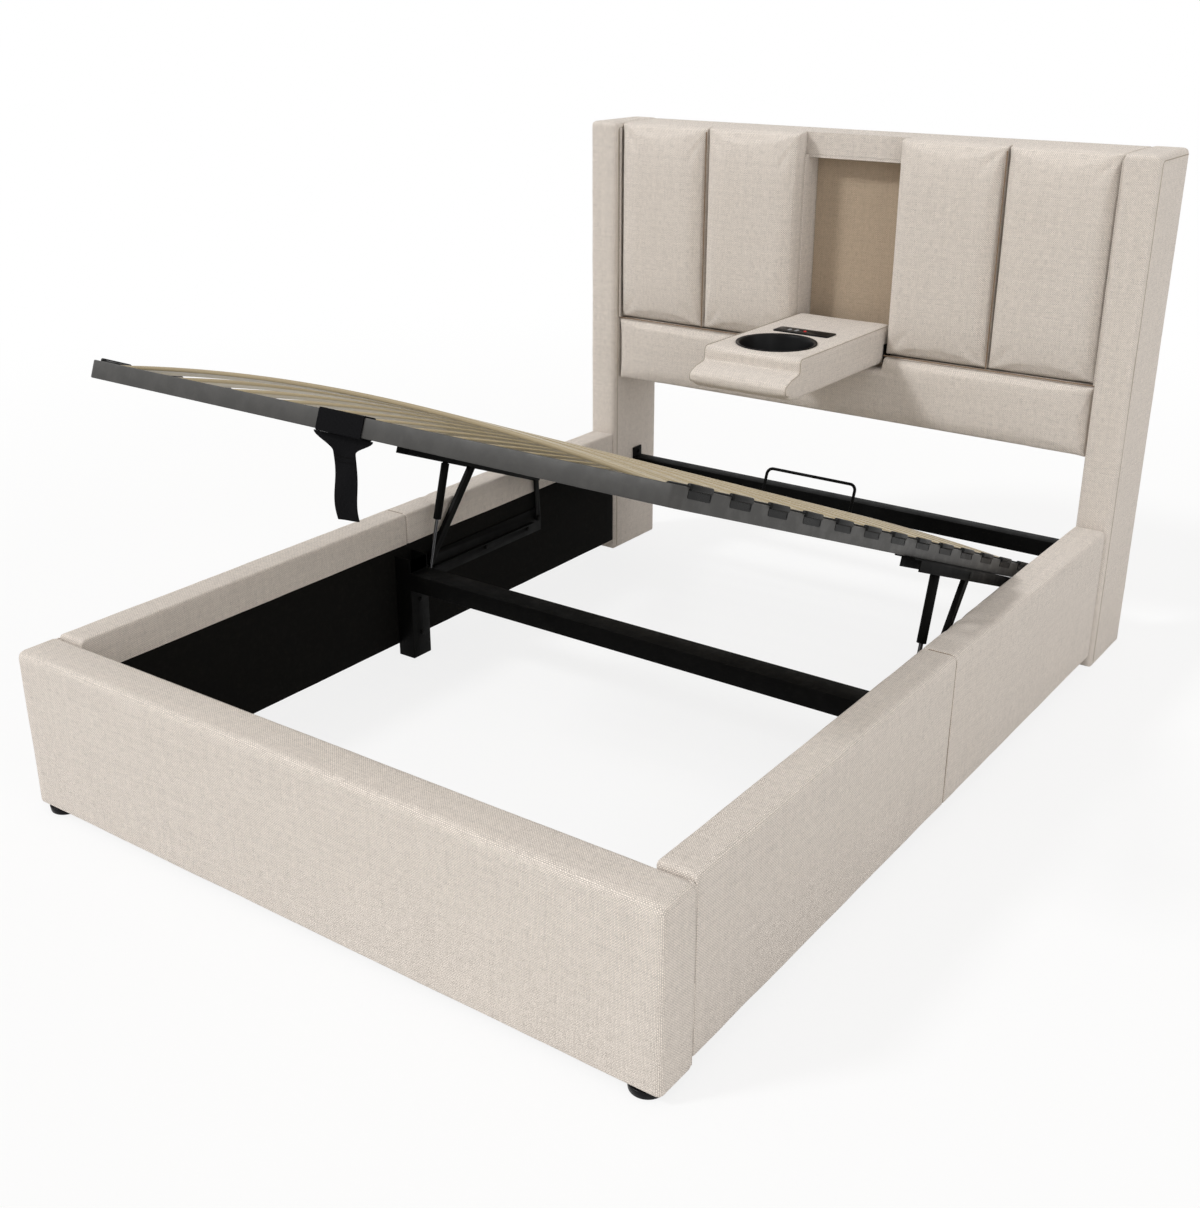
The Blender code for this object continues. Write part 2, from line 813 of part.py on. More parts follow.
def make_cushions(looks):
    width = (panel_half - niche_half_width) / channel_count_each_side
    names = ("inner", "outer")
    for side_name, side in sides_of_bed:
        for i in range(channel_count_each_side):
            low = niche_half_width + i * width + cushion_seam / 2
            high = niche_half_width + (i + 1) * width - cushion_seam / 2
            shape = bmesh.new()
            crowned_cushion(shape, mirrored(side, low, high), (channel_bottom, panel_top),
                            channel_front, channel_crown, channel_grid)
            add_object(f"channel_cushion_{side_name}_{names[i]}", shape, looks["linen"], None,
                       cushion_edge_angle)
    shape = bmesh.new()
    crowned_cushion(shape, (-panel_half, panel_half), (panel_bottom, lower_panel_top),
                    lower_panel_front, lower_panel_crown, lower_panel_grid)
    panel = add_object("lower_panel_cushion", shape, looks["linen"], None, cushion_edge_angle)
    notch = niche_half_width + lower_panel_notch_side_gap
    front = lower_panel_front - lower_panel_crown - cut_overrun
    cut_box(panel, (-notch, notch), (front, cushion_back + cut_overrun),
            (niche_floor, lower_panel_top + cut_overrun))


# Folding armrest
def armrest_outline():
    """Side outline round the hinge at the origin, from the tail's underside to the lip and back."""
    edge = armrest_edge_radius
    tail = armrest_tail_radius
    nose = armrest_nose_radius
    fillet = armrest_shoulder_radius
    face = -armrest_shoulder_reach
    lip = -armrest_reach
    outline = arc((armrest_tail - tail, tail - armrest_bottom_drop), tail, 0, -90)
    outline.append((face, -armrest_bottom_drop))
    outline.append((lip + armrest_lip_run, -armrest_lip_under_drop))
    outline += arc((lip + nose, armrest_nose_rise), nose, -100, -250, 2 * corner_steps)
    outline.append((lip + armrest_lip_run, armrest_lip_top_rise))
    outline += arc((face - fillet, armrest_shoulder_rise + fillet), fillet, -80, 0)
    outline += arc((face + edge, armrest_top_rise - edge), edge, 180, 90)
    outline += arc((armrest_tail - edge, armrest_top_rise - edge), edge, 90, 0)
    return outline


def make_armrest(looks):
    guide = empty("armrest_axis", (0, armrest_hinge_y, armrest_hinge_height))
    outline = armrest_outline()
    sections = []
    for side_name, side in sides_of_bed:
        ends = ease_in(armrest_side_radius, armrest_side_steps)
        for inset, drop in ends if side < 0 else reversed(ends):
            x = side * (armrest_half_width - drop)
            sections.append([(x, y, z) for y, z in drawn_in(outline, inset)])
    shape = bmesh.new()
    add_loft(shape, sections)
    body = add_object("armrest_body", shape, looks["linen"], guide, edge_angle)
    cup = (0, -cup_reach)
    top = armrest_top_rise
    cut_rod(body, cup, 2, (top - cup_depth - gap, top + cut_overrun), cup_radius + gap,
            fine_sides, guide)
    ports_x = (port_first_x - port_width / 2 - pocket_margin,
               button_x + button_radius + pocket_margin)
    half_port = port_length / 2 + pocket_margin
    cut_box(body, ports_x, (-plate_reach - half_port, -plate_reach + half_port),
            (top - port_depth, top + cut_overrun), guide)
    for side_name, side in sides_of_bed:
        bore_x = mirrored(side, armrest_half_width - hinge_pin_length, armrest_half_width + cut_overrun)
        cut_rod(body, (0, 0), 0, bore_x, hinge_pin_radius + hinge_hole_gap, round_sides, guide)

    shape = bmesh.new()
    inner = cup_radius - cup_wall
    seat = top + gap
    profile = [(0, top - cup_depth), (cup_floor_radius, top - cup_depth), (cup_radius, seat - cup_rim_drop),
               (cup_radius, seat), (cup_rim_radius - cup_rim_thickness / 2, seat),
               (cup_rim_radius, seat + cup_rim_thickness / 2),
               (cup_rim_radius - cup_rim_thickness, seat + cup_rim_thickness),
               (inner + cup_wall / 2, seat + cup_rim_thickness),
               (inner, seat - cup_rim_drop), (cup_floor_radius - cup_wall, top - cup_depth + cup_wall),
               (0, top - cup_depth + cup_wall)]
    add_turned(shape, cup, profile, fine_sides)
    add_object("cup_insert", shape, looks["black_plastic"], guide, edge_angle)


def make_charging_plate(looks):
    guide = empty("charging_axis", (0, armrest_hinge_y, armrest_hinge_height))
    seat = armrest_top_rise + gap
    middle = -plate_reach
    shape = bmesh.new()
    corner = (plate_corner,) * 4
    outline = rounded_outline((-plate_width / 2, plate_width / 2),
                              (middle - plate_length / 2, middle + plate_length / 2),
                              corner, plate_corner_steps)
    add_loft(shape, [[(x, y, z) for x, y in outline] for z in (seat, seat + plate_thickness)])
    plate = add_object("charging_plate", shape, looks["black_plastic"], guide)
    low = seat - port_depth + gap
    ledge = seat - gap
    top = seat + plate_thickness + port_proud
    ends = (port_first_x - port_width / 2, port_first_x + (port_count - 1) * port_pitch + port_width / 2)
    outline = [(ends[0], low)]
    for i in range(port_count):
        x = port_first_x + i * port_pitch
        outline += [(x - port_width / 2, ledge), (x - port_width / 2, top),
                    (x + port_width / 2, top), (x + port_width / 2, ledge)]
    outline = outline[:1] + outline[2:-1] + [(ends[1], low)]
    ports = bmesh.new()
    reach = (middle - port_length / 2, middle + port_length / 2)
    add_loft(ports, [[(x, y, z) for x, z in outline] for y in reach])
    ports = add_object("charging_ports", ports, looks["port_grey"], guide)
    for i in range(port_count):
        x = port_first_x + i * port_pitch
        hole = (port_width / 2 + gap, port_length / 2 + gap)
        slot = (port_slot_width / 2, port_slot_length / 2)
        cut_box(plate, (x - hole[0], x + hole[0]), (middle - hole[1], middle + hole[1]),
                (seat - cut_overrun, seat + cut_overrun), guide)
        cut_box(ports, (x - slot[0], x + slot[0]), (middle - slot[1], middle + slot[1]),
                (top - port_slot_depth, top + cut_overrun), guide)
    cut_rod(plate, (button_x, middle), 2, (seat - cut_overrun, seat + cut_overrun),
            button_radius + gap, round_sides, guide)
    button_guide = empty("button_axis", (button_x, armrest_hinge_y + middle,
                         armrest_hinge_height + seat + plate_thickness))
    shape = bmesh.new()
    profile = [(0, button_proud), (button_face_radius, button_proud),
               (button_radius, button_proud - button_edge_drop), (button_radius, -button_stem),
               (0, -button_stem)]
    add_turned(shape, (0, 0), profile, round_sides)
    add_object("power_button", shape, looks["button_red"], button_guide, edge_angle)


def make_armrest_hinges(looks):
    """A plate on each niche wall with a pin that the armrest turns on."""
    face = niche_half_width - gap
    plate_y = (armrest_hinge_y - hinge_plate_front, armrest_hinge_y + hinge_plate_back)
    plate_z = (armrest_hinge_height - hinge_plate_drop, armrest_hinge_height + hinge_plate_rise)
    for side_name, side in sides_of_bed:
        item = box_object(f"armrest_hinge_{side_name}", mirrored(side, face - hinge_plate_thickness, face),
                          plate_y, plate_z, looks["black_steel"])
        start = armrest_half_width - hinge_pin_length + hinge_hole_gap
        pin = bmesh.new()
        add_rod(pin, (armrest_hinge_y, armrest_hinge_height), 0,
                mirrored(side, start, face - hinge_plate_thickness / 2), hinge_pin_radius, round_sides)
        combine(item, pin, "UNION")


# Feet, mid legs and beams
def make_feet(looks):
    top = footboard_bottom - gap
    for side_name, side in sides_of_bed:
        shape = bmesh.new()
        centre = (side * (footboard_half - front_foot_inset_x), foot_face + front_foot_inset_y)
        profile = [(0, 0), (front_foot_base_radius - front_foot_chamfer, 0),
                   (front_foot_base_radius, front_foot_chamfer), (front_foot_radius, top), (0, top)]
        add_turned(shape, centre, profile, round_sides)
        add_object(f"front_foot_{side_name}", shape, looks["black_plastic"], None, edge_angle)


def make_mid_support(looks):
    """A leg inside each rail, joined by a beam, with saddles that the slat frame rests on."""
    beam_top = mid_leg_top - mid_beam_seat
    beam_bottom = beam_top - mid_beam_height
    half = [(mid_leg_inner, beam_bottom), (mid_leg_inner, 0), (mid_leg_outer, 0),
            (mid_leg_outer, saddle_top), (mid_leg_inner, saddle_top), (mid_leg_inner, beam_top)]
    outline = half + [(-x, z) for x, z in reversed(half)]
    shape = bmesh.new()
    add_loft(shape, [[(x, y, z) for x, z in outline] for y in (mid_leg_front, mid_leg_back)])
    support = add_object("mid_support", shape, looks["black_steel"])
    heads = bmesh.new()
    for side_name, side in sides_of_bed:
        saddle_x = mirrored(side, mid_leg_inner - cut_overrun, mid_leg_outer + cut_overrun)
        cut_box(support, saddle_x, (mid_leg_front + saddle_plate, mid_leg_back - saddle_plate),
                (mid_leg_top, saddle_top + cut_overrun))
        for height in leg_bolt_heights:
            add_bolt_head(heads, side, mid_leg_inner, ((mid_leg_front + mid_leg_back) / 2, height))
    combine(support, heads, "UNION")


def make_rear_rail(looks):
    """Cross rail behind the mattress with a bracket on each wing."""
    front = head_face - rear_rail_front_from_head
    plate_outer = wing_inner - gap
    plate_inner = plate_outer - rear_bracket_plate
    bottom = rear_rail_top - rear_rail_height
    half = [(plate_outer, bottom), (plate_outer, rear_bracket_top), (plate_inner, rear_bracket_top),
            (plate_inner, rear_rail_top)]
    outline = half + [(-x, z) for x, z in reversed(half)]
    shape = bmesh.new()
    add_loft(shape, [[(x, y, z) for x, z in outline] for y in (front, front + rear_rail_depth)])
    rail = add_object("rear_rail", shape, looks["black_steel"])
    heads = bmesh.new()
    y = front + rear_bolt_back_share * rear_rail_depth
    for side_name, side in sides_of_bed:
        add_bolt_head(heads, side, plate_inner, (y, rear_bolt_height))
    combine(rail, heads, "UNION")


def add_bolt_head(shape, side, face, centre):
    """Hexagon head on a face, with its shank started so that the two join."""
    reach = mirrored(side, face - bolt_head_thickness, face + bolt_head_thickness / 2)
    add_rod(shape, centre, 0, reach, bolt_head_radius, bolt_sides)


# Slat frame, built along the frame and parented to a guide on the lifting arms' top pivot
def frame_place(along, height):
    """(y, z) in the slat frame's own axes, from its foot end and its top face."""
    return along - arm_pivot_along, height + pivot_drop


def make_frame(guide, looks):
    """Welded tube frame with a holder for each slat end."""
    inner = slat_frame_half_width - frame_tube_width
    ends = (frame_place(0, 0)[0], frame_place(slat_frame_length, 0)[0])
    level = frame_place(0, -frame_tube_height)[1], frame_place(0, 0)[1]
    shape = bmesh.new()
    add_box(shape, (-slat_frame_half_width, slat_frame_half_width), ends, level)

    def upright(edge):
        return abs(edge.verts[0].co.z - edge.verts[1].co.z) > gap

    bevel_edges(shape, upright, frame_corner_radius, corner_steps)
    frame = add_object("slat_frame", shape, looks["grey_steel"], guide, edge_angle)
    cut_box(frame, (-inner, inner), grown(ends, -cross_bar_width), grown(level, cut_overrun), guide)
    holders = bmesh.new()
    pockets = bmesh.new()
    start = inner - holder_inner_reach
    half = slat_width / 2 + holder_side_wall
    reach = slat_width / 2 + holder_pocket_gap
    deep = slat_thickness / 2 + holder_pocket_gap
    for side_name, side in sides_of_bed:
        for i in range(slat_count):
            low = frame_place(slat_centre(i) - half, -holder_depth)
            high = frame_place(slat_centre(i) + half, holder_proud)
            outline = [low, (high[0], low[1]), (high[0], high[1] - holder_chamfer),
                       (high[0] - holder_chamfer, high[1]), (low[0] + holder_chamfer, high[1]),
                       (low[0], high[1] - holder_chamfer)]
            add_prism(holders, outline, mirrored(side, start, slat_frame_half_width - holder_outer_recess))
            low = frame_place(slat_centre(i) - reach, -slat_end_depth - deep)
            high = frame_place(slat_centre(i) + reach, -slat_end_depth + deep)
            add_box(pockets, mirrored(side, start - cut_overrun, slat_half_length + gap),
                    (low[0], high[0]), (low[1], high[1]))
    combine(frame, holders, "UNION", guide)
    combine(frame, pockets, "DIFFERENCE", guide)


def slat_centre(i):
    """Place of a slat's middle along the frame."""
    pitch = (slat_frame_length - 2 * slat_end_from_bar) / (slat_count - 1)
    return slat_end_from_bar + i * pitch


def slat_section(x, along):
    """Outline of a bent slat at one place across the bed, with eased edges."""
    straight = slat_half_length - slat_straight_end
    rise = slat_crown * max(0.0, 1 - (x / straight) ** 2)
    y, z = frame_place(along, rise - slat_end_depth)
    half = slat_width / 2
    thick = slat_thickness / 2
    ease = slat_edge_chamfer
    points = ((-half, 0), (-half + ease, thick), (half - ease, thick), (half, 0),
              (half - ease, -thick), (-half + ease, -thick))
    return [(x, y + a, z + b) for a, b in points]


def make_slats(guide, looks):
    straight = slat_half_length - slat_straight_end
    places = [-slat_half_length]
    places += [straight * (2 * i / slat_steps - 1) for i in range(slat_steps + 1)]
    places.append(slat_half_length)
    for i in range(slat_count):
        shape = bmesh.new()
        add_loft(shape, [slat_section(x, slat_centre(i)) for x in places])
        add_object(f"slat_{i + 1:02d}", shape, looks["slat_wood"], guide)


def make_mattress_stop(guide, looks):
    """Bent rod that stands on the head bar."""
    radius = stop_corner_radius
    y, base = frame_place(slat_frame_length - cross_bar_width / 2, gap)
    top = base + stop_height
    path = [(-stop_half_width, base)]
    path += arc((-stop_half_width + radius, top - radius), radius, 180, 90)
    path += arc((stop_half_width - radius, top - radius), radius, 90, 0)
    path.append((stop_half_width, base))
    shape = bmesh.new()
    sections = []
    for i, (x, z) in enumerate(path):
        before = path[max(i - 1, 0)]
        after = path[min(i + 1, len(path) - 1)]
        heading = math.atan2(after[1] - before[1], after[0] - before[0])
        ring = []
        for k in range(small_sides):
            angle = 2 * math.pi * k / small_sides
            across = stop_rod_radius * math.cos(angle)
            ring.append((x - across * math.sin(heading), y + stop_rod_radius * math.sin(angle),
                         z + across * math.cos(heading)))
        sections.append(ring)
    add_loft(shape, sections)
    add_object("mattress_stop", shape, looks["black_steel"], guide, edge_angle)


def make_pull_strap(guide, looks):
    """Band round the foot bar with a yoke and a tail that hangs straight down."""
    half = strap_band_width / 2
    thick = strap_thickness
    low = frame_place(0, -frame_tube_height)
    high = frame_place(cross_bar_width, 0)
    shape = bmesh.new()
    add_box(shape, (-half, half), (low[0] - gap - thick, high[0] + gap + thick),
            (low[1] - gap - thick, high[1] + gap + thick))
    band = add_object("pull_strap", shape, looks["webbing"], guide)
    cut_box(band, (-half - cut_overrun, half + cut_overrun), (low[0] - gap, high[0] + gap),
            (low[1] - gap, high[1] + gap), guide)
    tail = bmesh.new()
    sections = []
    for i in range(strap_steps + 1):
        share = i / strap_steps
        drop = share * strap_tail_drop
        eased = min(1.0, drop / strap_yoke_drop)
        eased = eased * eased * (3 - 2 * eased)
        width = strap_yoke_width + (strap_tail_width - strap_yoke_width) * eased
        wave = strap_wave * math.sin(2 * math.pi * share) * share
        y = low[0] + cross_bar_width / 2 + drop * math.sin(open_tilt) + wave
        z = low[1] - gap - thick / 2 - drop * math.cos(open_tilt)
        across = width / 2
        sections.append([(-across, y - thick / 2, z), (across, y - thick / 2, z),
                         (across, y + thick / 2, z), (-across, y + thick / 2, z)])
    add_loft(tail, sections)
    combine(band, tail, "UNION", guide)


# Lifting mechanism
def make_base_plates(looks):
    """Plate on each rail that carries the three fixed pivots of a lifting mechanism."""
    start, end = base_plate_start, base_plate_end
    lobe_end = start + base_plate_lobe_length
    outline = [(start, base_plate_lobe_bottom), (lobe_end, base_plate_lobe_bottom),
               (lobe_end + base_plate_lobe_slope, base_plate_bottom), (end, base_plate_bottom),
               (end, base_plate_top), (start, base_plate_top)]
    root = base_web_inner + base_plate_thickness / 2
    for side_name, side in sides_of_bed:
        shape = bmesh.new()
        add_prism(shape, outline, mirrored(side, base_web_inner, base_web_outer))
        item = add_object(f"base_plate_{side_name}", shape, looks["black_steel"])
        flange = bmesh.new()
        add_box(flange, mirrored(side, base_web_inner - base_flange_width, root),
                (start + base_flange_start, link_foot.x - base_flange_end_gap),
                (base_flange_top - base_plate_thickness, base_flange_top))
        combine(item, flange, "UNION")
        pins = bmesh.new()
        for pivot, bar_face in ((arm_foot, arm_inner), (link_foot, link_inner)):
            seat = bar_outer + gap
            lip = bar_face - gap
            add_stepped_pin(pins, side, pivot, ((root, spacer_radius), (seat, spacer_radius),
                            (seat, pivot_radius), (lip, pivot_radius), (lip, pivot_head_radius),
                            (lip - pivot_head_thickness, pivot_head_radius)))
        eye = (gas_layer + gas_eye_half_width + gap, gas_layer - gas_eye_half_width - gap)
        add_stepped_pin(pins, side, gas_foot, ((root, gas_spacer_radius), (eye[0], gas_spacer_radius),
                        (eye[0], gas_stud_radius), (eye[1], gas_stud_radius),
                        (eye[1], gas_spacer_radius), (eye[1] - rivet_head_thickness, gas_spacer_radius)))
        combine(item, pins, "UNION")
        heads = bmesh.new()
        for share in base_bolt_shares:
            y = start + share * (end - start)
            add_bolt_head(heads, side, base_web_inner, (y, base_flange_top - base_bolt_drop))
        combine(item, heads, "UNION")


def make_flat_bar(name, length, width, inner_face, side, guide, material, holes):
    """Bar with round ends, along +Y from its guide, inwards from the bracket's outer web."""
    half = width / 2
    outline = arc((0, 0), half, 90, 270, bar_end_steps)
    outline += arc((length, 0), half, -90, 90, bar_end_steps)
    shape = bmesh.new()
    add_prism(shape, outline, mirrored(side, inner_face, bar_outer))
    item = add_object(name, shape, material, guide)
    overrun = mirrored(side, inner_face - cut_overrun, bar_outer + cut_overrun)
    for place in holes:
        cut_rod(item, (place, 0), 0, overrun, pivot_hole_radius, round_sides, guide)
    return item


def make_arms_and_links(looks):
    arm_guide = empty("lift_arm_axis", (0, arm_foot.x, arm_foot.y), arm_turn)
    link_guide = empty("rear_link_axis", (0, link_foot.x, link_foot.y), link_turn)
    arm_length = (arm_top_open - arm_foot).length
    link_length = (link_top_open - link_foot).length
    for side_name, side in sides_of_bed:
        make_flat_bar(f"lift_arm_{side_name}", arm_length, arm_width, arm_inner, side, arm_guide,
                      looks["black_steel"], (0, arm_length))
        link = make_flat_bar(f"rear_link_{side_name}", link_length, link_width, link_inner, side,
                             link_guide, looks["black_steel"], (0,))
        rivet = bmesh.new()
        add_rod(rivet, (link_length, 0), 0,
                mirrored(side, link_inner - rivet_head_thickness, link_inner + link_plate / 2),
                rivet_radius, round_sides)
        combine(link, rivet, "UNION", link_guide)


def add_stepped_pin(shape, side, centre, steps, sides=round_sides):
    """A round pin along X from (x, radius) steps."""
    sections = []
    for x, radius in steps:
        ring = []
        for i in range(sides):
            angle = 2 * math.pi * i / sides
            ring.append((side * x, centre[0] + radius * math.cos(angle),
                         centre[1] + radius * math.sin(angle)))
        sections.append(ring)
    add_loft(shape, sections)


def make_brackets(guide, looks):
    """Channel under each side bar that the arm and the gas spring fold into."""
    top = -frame_tube_height - gap
    notch_start = link_pivot_along - bracket_link_notch
    end = link_pivot_along + bracket_end_margin
    for side_name, side in sides_of_bed:
        low_outer = top - bracket_outer_web_depth
        low_inner = top - bracket_inner_web_depth
        points = ((bracket_outer, top), (bracket_outer, low_outer), (bracket_outer_web, low_outer),
                  (bracket_outer_web, top - bracket_plate), (bracket_inner_web, top - bracket_plate),
                  (bracket_inner_web, low_inner), (bracket_inner, low_inner), (bracket_inner, top))
        sections = []
        for along in (bracket_tab_start, end):
            sections.append([(side * x, *frame_place(along, height)) for x, height in points])
        shape = bmesh.new()
        add_loft(shape, sections)
        item = add_object(f"upper_bracket_{side_name}", shape, looks["black_steel"], guide)
        tab = frame_place(bracket_web_start, top - bracket_plate)
        under = frame_place(bracket_tab_start, low_outer)
        wide = mirrored(side, bracket_inner - cut_overrun, bracket_outer + cut_overrun)
        cut_box(item, wide, (under[0] - cut_overrun, tab[0]), (under[1] - cut_overrun, tab[1]), guide)
        notch = frame_place(notch_start, low_outer)
        inner_part = mirrored(side, bracket_inner - cut_overrun, bracket_outer_web)
        cut_box(item, inner_part, (notch[0], frame_place(end, 0)[0] + cut_overrun),
                (notch[1] - cut_overrun, frame_place(0, 0)[1]), guide)
        pivot = frame_place(arm_pivot_along, -pivot_drop)
        lip = arm_inner - gap
        pin = bmesh.new()
        add_stepped_pin(pin, side, pivot, (
            (bracket_outer + rivet_head_thickness, pivot_head_radius),
            (bracket_outer_web + bracket_plate / 2, pivot_head_radius),
            (bracket_outer_web + bracket_plate / 2, pivot_radius), (lip, pivot_radius),
            (lip, pivot_head_radius), (lip - pivot_head_thickness, pivot_head_radius)))
        combine(item, pin, "UNION", guide)


def make_gas_springs(looks):
    rod_guide = empty("gas_rod_axis", (0, gas_foot.x, gas_foot.y), gas_turn)
    top_guide = empty("gas_cylinder_axis", (0, gas_top_open.x, gas_top_open.y), gas_turn)
    rod_end = gas_length_open - gas_cylinder_length + gas_rod_insert
    eye = gas_eye_half_width
    for side_name, side in sides_of_bed:
        x = side * gas_layer
        shape = bmesh.new()
        add_rod(shape, (x, 0), 1, (gas_eye_radius / 2, rod_end), gas_rod_radius, small_sides)
        rod = add_object(f"gas_rod_{side_name}", shape, looks["bright_steel"], rod_guide,
                         edge_angle)
        ring = bmesh.new()
        add_rod(ring, (0, 0), 0, (x - eye, x + eye), gas_eye_radius, round_sides)
        combine(rod, ring, "UNION", rod_guide)
        cut_rod(rod, (0, 0), 0, (x - cut_overrun, x + cut_overrun),
                gas_stud_radius + running_gap, round_sides, rod_guide)

        shape = bmesh.new()
        add_rod(shape, (x, 0), 1, (-gas_cylinder_length, -gas_cylinder_start),
                gas_cylinder_radius, round_sides)
        cylinder = add_object(f"gas_cylinder_{side_name}", shape, looks["black_steel"], top_guide,
                              edge_angle)
        neck = bmesh.new()
        add_rod(neck, (x, 0), 1, (-gas_cylinder_start - gas_cylinder_cap / 2, 0), gas_neck_radius,
                small_sides)
        combine(cylinder, neck, "UNION", top_guide)
        knuckle = bmesh.new()
        add_rod(knuckle, (0, 0), 0, (x - eye, x + eye), gas_eye_radius, round_sides)
        combine(cylinder, knuckle, "UNION", top_guide)
        stud = bmesh.new()
        add_rod(stud, (0, 0), 0, mirrored(side, bracket_inner_web + gap, gas_layer), gas_stud_radius,
                small_sides)
        combine(cylinder, stud, "UNION", top_guide)
        bore_end = -gas_cylinder_start - gas_cylinder_cap
        cut_rod(cylinder, (x, 0), 1, (-gas_cylinder_length - cut_overrun, bore_end),
                gas_rod_radius + running_gap, small_sides, top_guide)


def make_slat_frame(looks):
    guide = empty("slat_frame_axis", (0, arm_top_open.x, arm_top_open.y), -open_tilt)
    make_frame(guide, looks)
    make_slats(guide, looks)
    make_mattress_stop(guide, looks)
    make_pull_strap(guide, looks)
    make_brackets(guide, looks)


def build():
    clear_scene()
    looks = make_finishes()
    make_footboard(looks)
    make_rails(looks)
    make_wings(looks)
    make_headboard_frame(looks)
    make_back_cover(looks)
    make_niche(looks)
    make_cushions(looks)
    make_armrest(looks)
    make_charging_plate(looks)
    make_armrest_hinges(looks)
    make_feet(looks)
    make_mid_support(looks)
    make_rear_rail(looks)
    make_base_plates(looks)
    make_arms_and_links(looks)
    make_gas_springs(looks)
    make_slat_frame(looks)


build()
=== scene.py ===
import json
import math

import bmesh
import bpy
from mathutils import Matrix, Vector, noise

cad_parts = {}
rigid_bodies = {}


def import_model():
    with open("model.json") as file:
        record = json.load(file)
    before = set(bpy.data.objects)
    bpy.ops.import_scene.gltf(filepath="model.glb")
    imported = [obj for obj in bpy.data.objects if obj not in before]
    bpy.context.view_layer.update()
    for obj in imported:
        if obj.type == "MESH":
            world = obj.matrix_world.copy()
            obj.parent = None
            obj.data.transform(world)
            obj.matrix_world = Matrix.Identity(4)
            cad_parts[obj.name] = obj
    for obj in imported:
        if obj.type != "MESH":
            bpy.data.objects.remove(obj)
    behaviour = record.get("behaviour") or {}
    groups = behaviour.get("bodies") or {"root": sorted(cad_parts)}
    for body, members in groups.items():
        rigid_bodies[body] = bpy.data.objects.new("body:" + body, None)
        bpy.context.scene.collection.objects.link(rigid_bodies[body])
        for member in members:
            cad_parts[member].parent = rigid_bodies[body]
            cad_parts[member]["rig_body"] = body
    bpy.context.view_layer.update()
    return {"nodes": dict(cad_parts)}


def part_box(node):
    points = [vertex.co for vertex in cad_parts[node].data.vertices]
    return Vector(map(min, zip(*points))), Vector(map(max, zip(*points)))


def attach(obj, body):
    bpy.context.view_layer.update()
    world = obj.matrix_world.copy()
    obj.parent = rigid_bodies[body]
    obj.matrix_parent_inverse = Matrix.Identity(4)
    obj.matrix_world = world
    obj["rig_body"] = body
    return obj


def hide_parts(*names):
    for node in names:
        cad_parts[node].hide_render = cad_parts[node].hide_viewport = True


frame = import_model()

# The bed in metres, +Z up, with +Y towards the headboard and +X to the right seen from the foot.
cad = frame["nodes"]
X, Y, Z = 0, 1, 2
gap = 0.0006

# The slat frame stands open: its own axes are across, along from the foot end, and up from its top
open_tilt = math.radians(21.45)
frame_foot = (0.0, -0.994013, 1.022993)
frame_length = 1.985
frame_half_width = 0.734
frame_axes = Matrix.Translation(frame_foot) @ Matrix.Rotation(-open_tilt, 4, "X")

# Pivots of the gas springs, (y, z)
gas_foot = Vector((-0.000985, 0.190))
gas_top = Vector((0.098836, 0.536665))
gas_layer = 0.7269


# --- Making and choosing ---
def only(item):
    bpy.ops.object.select_all(action="DESELECT")
    item.select_set(True)
    bpy.context.view_layer.objects.active = item


def named(item, name):
    item.name = name
    item.data.name = name
    return item


def settle(item):
    """Put a piece's place, turn and size into its mesh."""
    only(item)
    bpy.ops.object.transform_apply(location=True, rotation=True, scale=True)
    return item


def block(name, low, high):
    """A box between two corners."""
    bpy.ops.object.select_all(action="DESELECT")
    low, high = Vector(low), Vector(high)
    bpy.ops.mesh.primitive_cube_add(size=1, location=(low + high) / 2)
    item = named(bpy.context.object, name)
    item.scale = high - low
    return settle(item)


def round_bar(name, start, end, radius, end_radius=None, sides=48):
    """A closed round bar or cone between two points."""
    bpy.ops.object.select_all(action="DESELECT")
    start, end = Vector(start), Vector(end)
    run = end - start
    bpy.ops.mesh.primitive_cone_add(
        vertices=sides, radius1=radius, radius2=radius if end_radius is None else end_radius,
        depth=run.length, location=(start + end) / 2,
        rotation=run.to_track_quat("Z", "Y").to_euler())
    return settle(named(bpy.context.object, name))


def pick(item, kind, test):
    """Open a piece for editing with the verts, edges or faces that pass a test selected."""
    only(item)
    bpy.ops.object.mode_set(mode="EDIT")
    bpy.ops.mesh.select_mode(type={"verts": "VERT", "edges": "EDGE", "faces": "FACE"}[kind])
    bpy.ops.mesh.select_all(action="DESELECT")
    mesh = bmesh.from_edit_mesh(item.data)
    for part in getattr(mesh, kind):
        if test(part):
            part.select_set(True)
    bmesh.update_edit_mesh(item.data)


def close():
    bpy.ops.object.mode_set(mode="OBJECT")


def extrude(*move):
    bpy.ops.mesh.extrude_region_move(TRANSFORM_OT_translate={"value": move})


def discard(item):
    bpy.data.objects.remove(item, do_unlink=True)


def apply_modifier(item, kind, **values):
    only(item)
    modifier = item.modifiers.new(kind.title(), kind)
    for key, value in values.items():
        setattr(modifier, key, value)
    bpy.ops.object.modifier_apply(modifier=modifier.name)


def ease(item, width, segments=3, degrees=35):
    """Round all edges that are sharper than an angle."""
    apply_modifier(item, "BEVEL", limit_method="ANGLE", angle_limit=math.radians(degrees),
                   width=width, segments=segments)


def span(item, axis):
    places = [vertex.co[axis] for vertex in item.data.vertices]
    return min(places), max(places)


def along(axis):
    """Test for an edge that runs along an axis, by its two ends."""
    return lambda a, b: abs(a[axis] - b[axis]) > 0.99 * (a - b).length


def at(axis, place):
    """Test for an edge that lies in a plane across an axis."""
    return lambda a, b: abs(a[axis] - place) < 1e-4 and abs(b[axis] - place) < 1e-4


